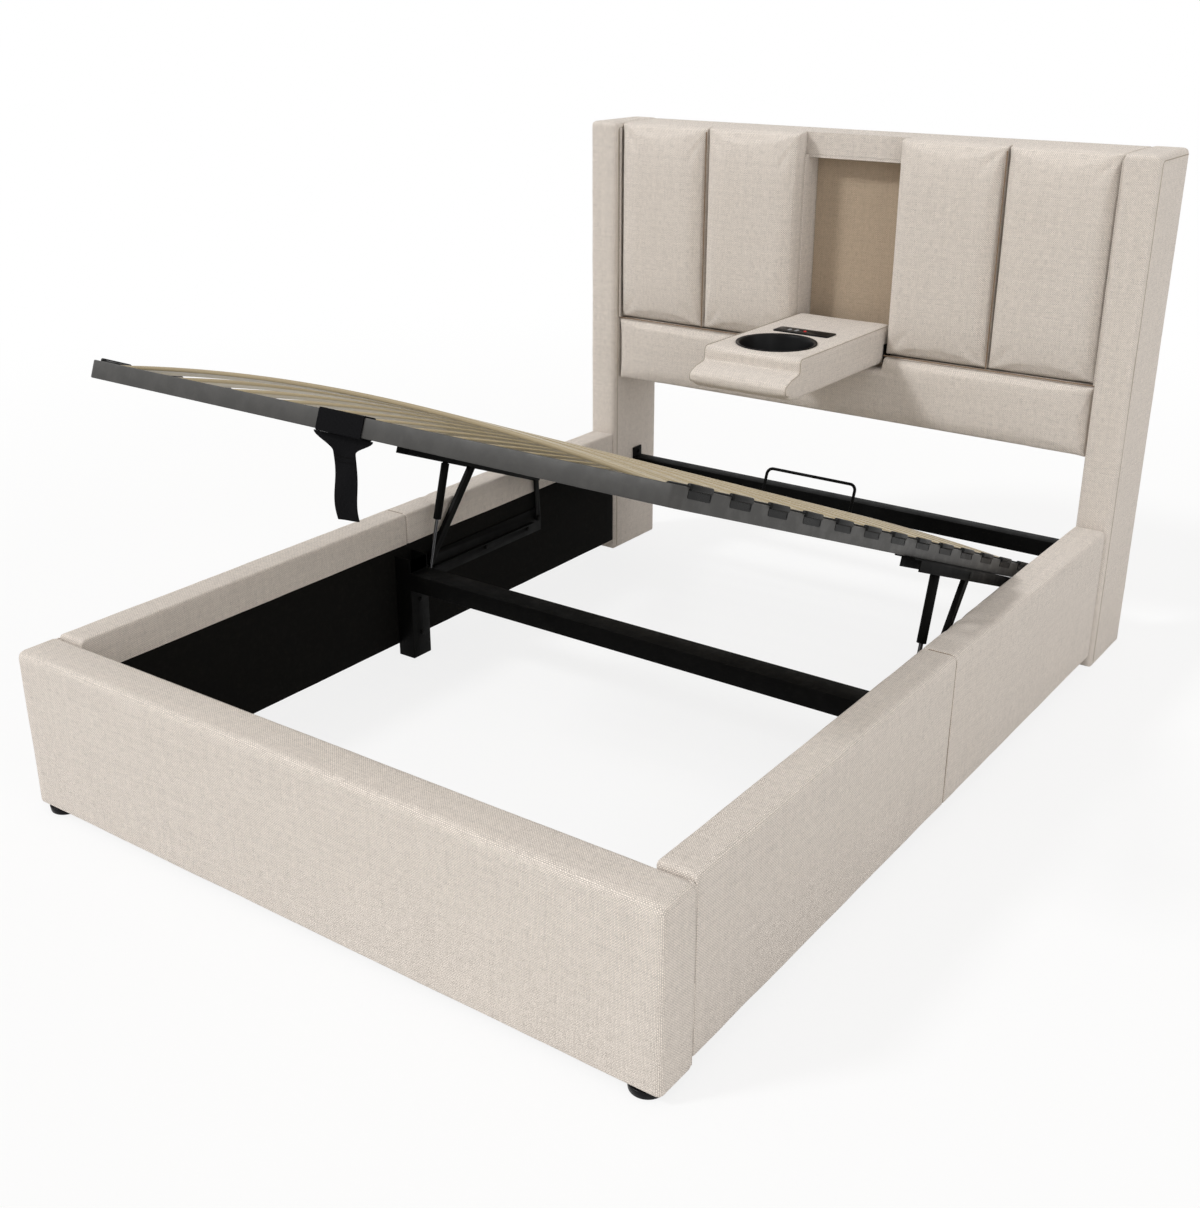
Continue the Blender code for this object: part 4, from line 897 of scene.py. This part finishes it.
def within(item, low, high, spare=0.0012):
    """Grow a padded piece to a little past its space, then press it flat against what is there."""
    for axis in (X, Y, Z):
        start, end = span(item, axis)
        grow = (high[axis] - low[axis] + 2 * spare) / (end - start)
        for vertex in item.data.vertices:
            place = low[axis] - spare + (vertex.co[axis] - start) * grow
            vertex.co[axis] = min(max(place, low[axis]), high[axis])


def make_channels():
    """One cushion is made, and the other three are copies of it."""
    low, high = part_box("channel_cushion_right_inner")
    held_from = high.y - 0.010

    def pinned(place):
        return 1.0 if place.y > held_from else 0.0

    item = pad_from("channel_cushion_right_inner", "channel_right_inner", 0.006, 3, 1.6, 0.004,
                    pinned)
    within(item, low - Vector((0.0002, 0.001, 0.0002)), high + Vector((0.0002, 0, 0.001)))
    finish(item, 70)
    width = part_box("channel_cushion_right_outer")[0].x - low.x
    outward = Matrix.Translation((width, 0, 0))
    pieces = {"right_inner": item, "right_outer": copied(item, "channel_right_outer", outward)}
    for place in ("inner", "outer"):
        pieces[f"left_{place}"] = copied(pieces[f"right_{place}"], f"channel_left_{place}",
                                         across_bed)
    for place, piece in pieces.items():
        side, row = place.split("_")
        put(piece, linen, "bed", "linen", f"channel_cushion_{side}_{row}")

    # Seams between the cushions and along the bottom, dark brown as painted shade of their grooves,
    # and a welt in the valley by each wing
    deep, level, foot, outer = low.y + 0.022, low.z - 0.0010, low.z + 0.002, low.x + 2 * width
    signs = (-1, 1)
    runs = [[(sign * (low.x + width), deep, z) for z in (foot, high.z - 0.012)] for sign in signs]
    runs += [[(sign * (low.x + 0.002), deep, level), (sign * outer, deep, level)]
             for sign in signs]
    thread("channel_seams", runs, 0.0018, seam_brown, "bed", "linen", 2)
    runs = [[(sign * (outer - 0.0026), low.y + 0.0185, z) for z in (foot, high.z - 0.014)]
            for sign in signs]
    thread("channel_welts", runs, 0.0036, linen, "bed", "linen", 3)


def make_lower_panel():
    low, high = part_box("lower_panel_cushion")

    def pinned(place):
        return 1.0 if place.y > high.y - 0.012 else 0.0

    item = pad_from("lower_panel_cushion", "lower_panel", 0.006, 2, 1.6, 0.004, pinned)
    within(item, low - Vector((0, 0.001, 0.0005)), high + Vector((0, 0, 0.001)), 0.0008)
    finish(item, 70)
    put(item, linen, "bed", "linen", "lower_panel_cushion")


make_headboard_back()
make_niche()
make_channels()
make_lower_panel()


# --- Armrest ---
cup_centre = Vector((0.0, 0.635, 0.0))
cup_rim = 0.110
cup_bore = 0.098
cup_wall = 0.003
plate_space = (0.092, 0.760, 0.826)


def make_armrest():
    low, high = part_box("armrest_body")

    def pinned(place):
        half, start, end = plate_space
        near_cup = (Vector((place.x, place.y, 0)) - cup_centre).length < cup_rim + 0.002
        near_plate = abs(place.x) < half and start < place.y < end and place.z > 0.8
        return 1.0 if near_cup or near_plate else 0.0

    item = pad_from("armrest_body", "armrest_upholstery", 0.0045, 1, 0.8, 0.0012, pinned)
    within(item, low - Vector((0.0004, 0.001, 0.0005)), high + Vector((0.0004, 0.001, 0.0008)),
           0.0004)

    # The cloth is tucked under the rim of the cup insert
    cup_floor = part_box("cup_insert")[0].z
    for vertex in item.data.vertices:
        out = Vector((vertex.co.x, vertex.co.y, 0)) - cup_centre
        if 0.05 < out.length < cup_rim - 0.0025 and vertex.co.z > cup_floor + 0.0005:
            place = cup_centre + out.normalized() * max(out.length, cup_bore + 0.0062)
            vertex.co = (place.x, place.y, min(vertex.co.z, high.z - 0.010))
    finish(item, 60)
    put(item, linen, "armrest", "linen", "armrest_body")


def make_armrest_seams():
    """Sewn edge of each flat side panel, all along its outline."""
    item = merged_copy("armrest_body", "side_outline")
    panel = max((face for face in item.data.polygons if face.normal.x > 0.99),
                key=lambda face: face.area)
    places = [item.data.vertices[k].co.copy() for k in panel.vertices]
    discard(item)
    rim = []
    for before, place, after in zip(places[-1:] + places[:-1], places, places[1:] + places[:1]):
        way = (place - before).normalized() + (after - place).normalized()
        outward = Vector((1, 0, 0)).cross(-way).normalized()
        rim.append(place + 0.0058 * outward)
    runs = [[(sign * (place.x - 0.0020), place.y, place.z) for place in rim + rim[:1]]
            for sign in (-1, 1)]
    thread("armrest_seams", runs, 0.0011, seam_linen, "armrest", "linen", 2)


def make_cup_insert():
    """A disc is dropped to a tapered cup with a rim, first inside and then outside."""
    low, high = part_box("cup_insert")
    floor, top = low.z, high.z
    item = round_bar("cup_liner", cup_centre + Vector((0, 0, top - cup_wall)),
                     cup_centre + Vector((0, 0, top)), cup_rim, sides=96)

    def drop(height, scale):
        bpy.ops.transform.translate(value=(0, 0, height))
        bpy.ops.transform.resize(value=(scale, scale, 1),
                                 center_override=(cup_centre.x, cup_centre.y, 0))

    pick(item, "faces", lambda face: face.normal.z > 0.9)
    bpy.ops.mesh.inset(thickness=0.0015)
    bpy.ops.mesh.inset(thickness=0.0075)
    drop(-0.0025, 1.0)
    bpy.ops.mesh.inset(thickness=0.0030)
    drop(-0.0085, 1.0)
    extrude(0, 0, 0)
    drop(floor + cup_wall - (top - 0.011), 0.086 / cup_bore)
    close()
    pick(item, "faces", lambda face: face.normal.z < -0.9)
    bpy.ops.mesh.inset(thickness=cup_rim - cup_bore - cup_wall)
    extrude(0, 0, 0)
    drop(floor - (top - cup_wall), 0.089 / (cup_bore + cup_wall))
    close()
    ease(item, 0.0012, degrees=25)
    smooth(item, 35)
    put(item, black_plastic, "armrest", "black_plastic", "cup_insert")


make_armrest()
make_armrest_seams()
make_cup_insert()
refined("charging_plate", "charger_plate", 0.0006, 2, black_plastic, "black_plastic")
refined("charging_ports", "charger_ports", 0.0003, 2, port_grey, "port_grey")
refined("power_button", "charger_button", 0.0003, 2, button_red, "button_red")


# --- Feet, beams and the fixed steel ---
def make_feet():
    low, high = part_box("front_foot_right")
    x, y = (low + high).xy / 2
    item = round_bar("foot_right", (x, y, low.z), (x, y, high.z), 0.0345, (high.x - low.x) / 2,
                     sides=64)
    ease(item, 0.0025)
    smooth(item, 35)
    for side, piece in mirrored(item):
        put(piece, black_plastic, "bed", "black_plastic", f"front_foot_{side}")


make_feet()
refined("mid_support", "cross_beam", 0.0016, 3, black_steel, "black_steel")
refined("rear_rail", "head_beam", 0.0014, 3, black_steel, "black_steel")
for side in ("left", "right"):
    for part, name, width, segments in (("base_plate", "rail_plate", 0.0007, 2),
                                        ("upper_bracket", "frame_bracket", 0.0007, 2),
                                        ("lift_arm", "arm", 0.0016, 3),
                                        ("rear_link", "link", 0.0009, 2),
                                        ("armrest_hinge", "hinge_plate", 0.0005, 2)):
        refined(f"{part}_{side}", f"{name}_{side}", width, segments, black_steel,
                "black_steel")


# --- Gas springs ---
def make_gas_springs():
    way = (gas_top - gas_foot).normalized()

    def place(x, point, run=0.0):
        spot = point + way * run
        return Vector((x, spot.x, spot.y))

    eye, eye_radius, stud_end = 0.0058, 0.008, 0.7128
    for side, sign in reversed(sides):
        x = sign * gas_layer
        top = place(x, gas_top)
        parts = [
            round_bar("body", place(x, gas_top, -0.172), place(x, gas_top, -0.014), 0.0113),
            round_bar("collar", place(x, gas_top, -0.0175), place(x, gas_top, -0.010), 0.0075),
            round_bar("neck", place(x, gas_top, -0.014), top, 0.0045, sides=32),
            round_bar("eye", place(x - eye, gas_top), place(x + eye, gas_top), eye_radius),
            round_bar("stud", top, place(sign * stud_end, gas_top), 0.0037, sides=32)]
        item = joined(f"gas_barrel_{side}", parts)
        ease(item, 0.0011, degrees=40)
        smooth(item, 35)
        put(item, black_steel, "gas_cylinders", "black_steel", f"gas_cylinder_{side}")
        rod = round_bar(f"gas_piston_{side}", place(x, gas_foot, 0.006),
                        place(x, gas_top, -0.162), 0.005)
        smooth(rod, 35)
        put(rod, bright_steel, "gas_rods", "bright_steel", f"gas_rod_{side}")
        ring = round_bar(f"gas_rod_eye_{side}", place(x - eye, gas_foot), place(x + eye, gas_foot),
                         eye_radius)
        ease(ring, 0.001, degrees=40)
        smooth(ring, 35)
        put(ring, black_steel, "gas_rods", "black_steel")


make_gas_springs()


# --- Slat frame ---
slat_count = 14
slat_from_end = 0.066
slat_pitch = (frame_length - 2 * slat_from_end) / (slat_count - 1)
slat_moves = [Matrix.Translation((0, slat_from_end + k * slat_pitch, 0))
              for k in range(slat_count)]
slat_half = 0.700
slat_width = 0.068
slat_thick = 0.009
slat_crown = 0.045
slat_depth = 0.0058
tube_height = 0.038
side_tube = 0.030
end_tube = 0.027


def make_frame_tubes():
    half = frame_half_width
    item = block("frame_tubes", (-half, 0, -tube_height), (half, frame_length, 0))
    soften(item, [(along(Z), 0.020)], 7)
    cut(item, block("frame_opening", (-half + side_tube, end_tube, -0.06),
                    (half - side_tube, frame_length - end_tube, 0.02)))
    ease(item, 0.0024, degrees=40)
    item.data.transform(frame_axes)
    lay_cloth(item)
    smooth(item, 35)
    put(item, grey_steel, "slat_platform", "grey_steel", "slat_frame")


def make_holders():
    """Moulded end caps: one is made, and the others are copies."""
    half, top = 0.038, 0.004
    first = block("holder", (0.688, -half, -0.018), (0.7348, half, top))
    soften(first, [(along(X), 0.004), (both(along(Y), at(Z, top)), 0.0065),
                   (both(along(X), at(Z, top)), 0.007)], 4)

    # A pocket for the slat on the inside and a shallow panel on the outside
    for way, rim, depth in ((-1, 0.0035, 0.012), (1, 0.0030, -0.0006)):
        pick(first, "faces", lambda face: way * face.normal.x > 0.9 and face.calc_area() > 4e-4)
        bpy.ops.mesh.inset(thickness=rim)
        extrude(depth, 0, 0)
        close()
    bar = block("holder_bar", (0.7270, -0.0375, -0.0050), (0.7385, 0.0375, 0.0068))
    soften(bar, [(lambda a, b: True, 0.0036)], 4)
    first = joined("holder", [first, bar])
    copies = []
    for k, move in enumerate(slat_moves):
        copies.append(copied(first, f"holder_right_{k}", frame_axes @ move))
        copies.append(copied(first, f"holder_left_{k}", frame_axes @ move @ across_bed))
    discard(first)
    item = joined("slat_holders", copies)
    smooth(item, 40)
    put(item, holder_plastic, "slat_platform", "black_plastic")


def make_slats():
    """Bent slats with their plies on their edges: one is made, and the others are copies."""
    first = block("slat", (-slat_half, -slat_width / 2, -slat_thick / 2),
                  (slat_half, slat_width / 2, slat_thick / 2))
    soften(first, [(along(X), 0.0032)], 3)
    slice_up(first, X, 0.045)
    lay_cloth(first)
    kinds = [1 if abs(face.normal.z) < 0.75 else 0 for face in first.data.polygons]
    bent = slat_half - 0.014
    for vertex in first.data.vertices:
        vertex.co.z += slat_crown * max(0.0, 1 - (vertex.co.x / bent) ** 2) - slat_depth
    smooth(first, 60)
    for k, move in enumerate(slat_moves, 1):
        item = copied(first, f"bent_slat_{k:02d}", frame_axes @ move)
        put(item, (slat_face, slat_edge), "slat_platform", "slat_wood", f"slat_{k:02d}")
        # Edge faces take the edge look, whose darker colour is painted shade
        for face, kind in zip(item.data.polygons, kinds):
            face.material_index = kind
    discard(first)


def make_mattress_stop():
    half, top, radius = 0.145, 0.122, 0.018
    y = frame_length - end_tube / 2
    path = [(-half, y, 0.0)]
    for centre, start in ((-half + radius, 180), (half - radius, 90)):
        for turn in quarter(8):
            angle = math.radians(start) - turn
            path.append((centre + radius * math.cos(angle), y,
                         top - radius + radius * math.sin(angle)))
    path.append((half, y, 0.0))
    runs = [[frame_axes @ Vector(point) for point in path]]
    item = thread("stop_rod", runs, 0.0045, black_steel, "slat_platform", "black_steel", 6)
    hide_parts("mattress_stop")
    welds = []
    for x in (-half, half):
        weld = round_bar("weld", (x, y, -0.0005), (x, y, 0.003), 0.0075, 0.0052)
        weld.data.transform(frame_axes)
        welds.append(weld)
    collar = joined("stop_welds", welds)
    smooth(collar, 50)
    put(collar, black_steel, "slat_platform", "black_steel")


def make_pull_strap():
    """A band round the foot-end tube, and a tail sewn to it."""
    half, thick = 0.057, 0.0025
    edge = 0.0004
    band = block("pull_strap_band", (-half, -edge - thick, -tube_height - edge - thick),
                 (half, end_tube + edge + thick, edge + thick))
    soften(band, [(along(X), 0.004)], 3)
    cut(band, block("bar_space", (-half - 0.01, -edge, -tube_height - edge),
                    (half + 0.01, end_tube + edge, edge)))
    slice_up(band, X, 0.008)
    lay_cloth(band)
    band.data.transform(frame_axes)
    smooth(band, 40)
    put(band, webbing, "slat_platform", "webbing", "pull_strap")

    # The tail hangs straight down from the tube, wide at its yoke and slightly curled
    length, yoke_drop, yoke_width, tail_width = 0.165, 0.032, 0.150, 0.057
    bpy.ops.object.select_all(action="DESELECT")
    bpy.ops.mesh.primitive_grid_add(x_subdivisions=10, y_subdivisions=44, size=1)
    tail = named(bpy.context.object, "pull_strap_tail")
    root = frame_axes @ Vector((0, end_tube / 2, -tube_height - edge - thick))
    for vertex in tail.data.vertices:
        x, share = vertex.co.x, 0.5 - vertex.co.y
        drop = length * share
        eased = min(1.0, drop / yoke_drop)
        eased = eased * eased * (3 - 2 * eased)
        width = yoke_width + (tail_width - yoke_width) * eased
        wave = 0.006 * math.sin(2 * math.pi * share) * share + 0.0012 * math.sin(9 * share + 5 * x)
        slant = 0.006 * x * share
        vertex.co = (width * x, root.y + wave + 0.004 * (x * x) * share, root.z - drop + slant)
    lay_cloth(tail)
    apply_modifier(tail, "SOLIDIFY", thickness=thick, offset=0)
    ease(tail, 0.0007, 2, 50)
    smooth(tail, 40)
    put(tail, webbing, "slat_platform", "webbing")
    stitches = []
    face, stitch = root.y - 0.0016, 0.0028
    for row in range(2):
        z = root.z - 0.040 - 0.010 * row
        for k in range(12):
            x = -0.024 + k * 0.0042
            stitches.append([(x, face, z), (x + stitch, face, z)])
    thread("pull_strap_stitches", stitches, 0.0005, black_lining, "slat_platform", "webbing", 1)


make_frame_tubes()
make_holders()
make_slats()
make_mattress_stop()
make_pull_strap()


# --- Floor, light and camera ---
def seen_directly(tree):
    """1 for rays that come from the camera or by way of glossy or clear things, or else 0."""
    rays = node(tree, "LightPath").outputs
    return calc(tree, "MAXIMUM", rays["Is Camera Ray"],
                calc(tree, "MAXIMUM", rays["Is Glossy Ray"], rays["Is Transmission Ray"]))


def shared(tree, share, first, second):
    item = node(tree, "MixShader", None, Fac=share)
    for socket, shader in zip(item.inputs[1:], (first, second)):
        tree.links.new(shader.outputs[0], socket)
    return item.outputs[0]


def make_floor():
    """A white floor that looks white all over but takes the bed's shadow."""
    bpy.ops.object.select_all(action="DESELECT")
    bpy.ops.mesh.primitive_plane_add(size=40, location=(0, 0, -0.0005))
    floor = settle(named(bpy.context.object, "studio_floor"))
    look, tree, shader = material("studio_floor")
    slow = use(tree, mottle, Size=1.5)["Mask"]
    feed(tree, shader.inputs["Base Color"],
         ramp(tree, slow, [(0.3, (0.76, 0.76, 0.76)), (0.7, (0.79, 0.79, 0.79))]))
    fixed(shader, Roughness=0.9, Specular_IOR_Level=0.0)
    white = node(tree, "Emission", None, Color=(1, 1, 1, 1), Strength=1.0)
    reach = node(tree, "VectorMath", {"operation": "LENGTH"}, Vector=spot(tree)).outputs["Value"]
    whiteness = times(tree, seen_directly(tree), remap(tree, reach, 2.2, 5.5, 0.82, 1.0))
    feed(tree, tree.nodes["Material Output"].inputs["Surface"],
         shared(tree, whiteness, shader, white))
    floor.data.materials.append(look)


def make_sun(name, direction, strength, degrees, colour):
    lamp = bpy.data.lights.new(name, "SUN")
    lamp.energy = strength
    lamp.angle = math.radians(degrees)
    lamp.color = colour
    item = bpy.data.objects.new(name, lamp)
    item.rotation_euler = Vector(direction).to_track_quat("-Z", "Y").to_euler()
    bpy.context.scene.collection.objects.link(item)


def make_world():
    world = bpy.data.worlds.new("studio")
    bpy.context.scene.world = world
    world.use_nodes = True
    tree = world.node_tree
    tree.nodes.clear()
    ambient = node(tree, "Background", None, Color=(1, 0.970, 0.935, 1), Strength=0.67)
    white = node(tree, "Background", None, Color=(1, 1, 1, 1), Strength=1.0)
    node(tree, "OutputWorld", None, Surface=shared(tree, seen_directly(tree), ambient, white))


def make_camera():
    lens = bpy.data.cameras.new("photo_view")
    lens.lens = 44.03
    lens.sensor_width = 36
    item = bpy.data.objects.new("photo_view", lens)
    item.location = (1.91147, -2.85835, 1.73822)
    item.rotation_euler = [math.radians(part) for part in (67.4072, -0.0462, 35.5661)]
    bpy.context.scene.collection.objects.link(item)
    bpy.context.scene.camera = item


make_floor()
make_sun("key", (0.50, 0.62, -0.70), 1.72, 10, (0.99, 0.995, 1))
make_sun("fill", (-0.90, 0.30, -0.25), 1.10, 80, (1, 1, 1))
make_world()
make_camera()
bpy.context.scene.view_settings.view_transform = "Standard"
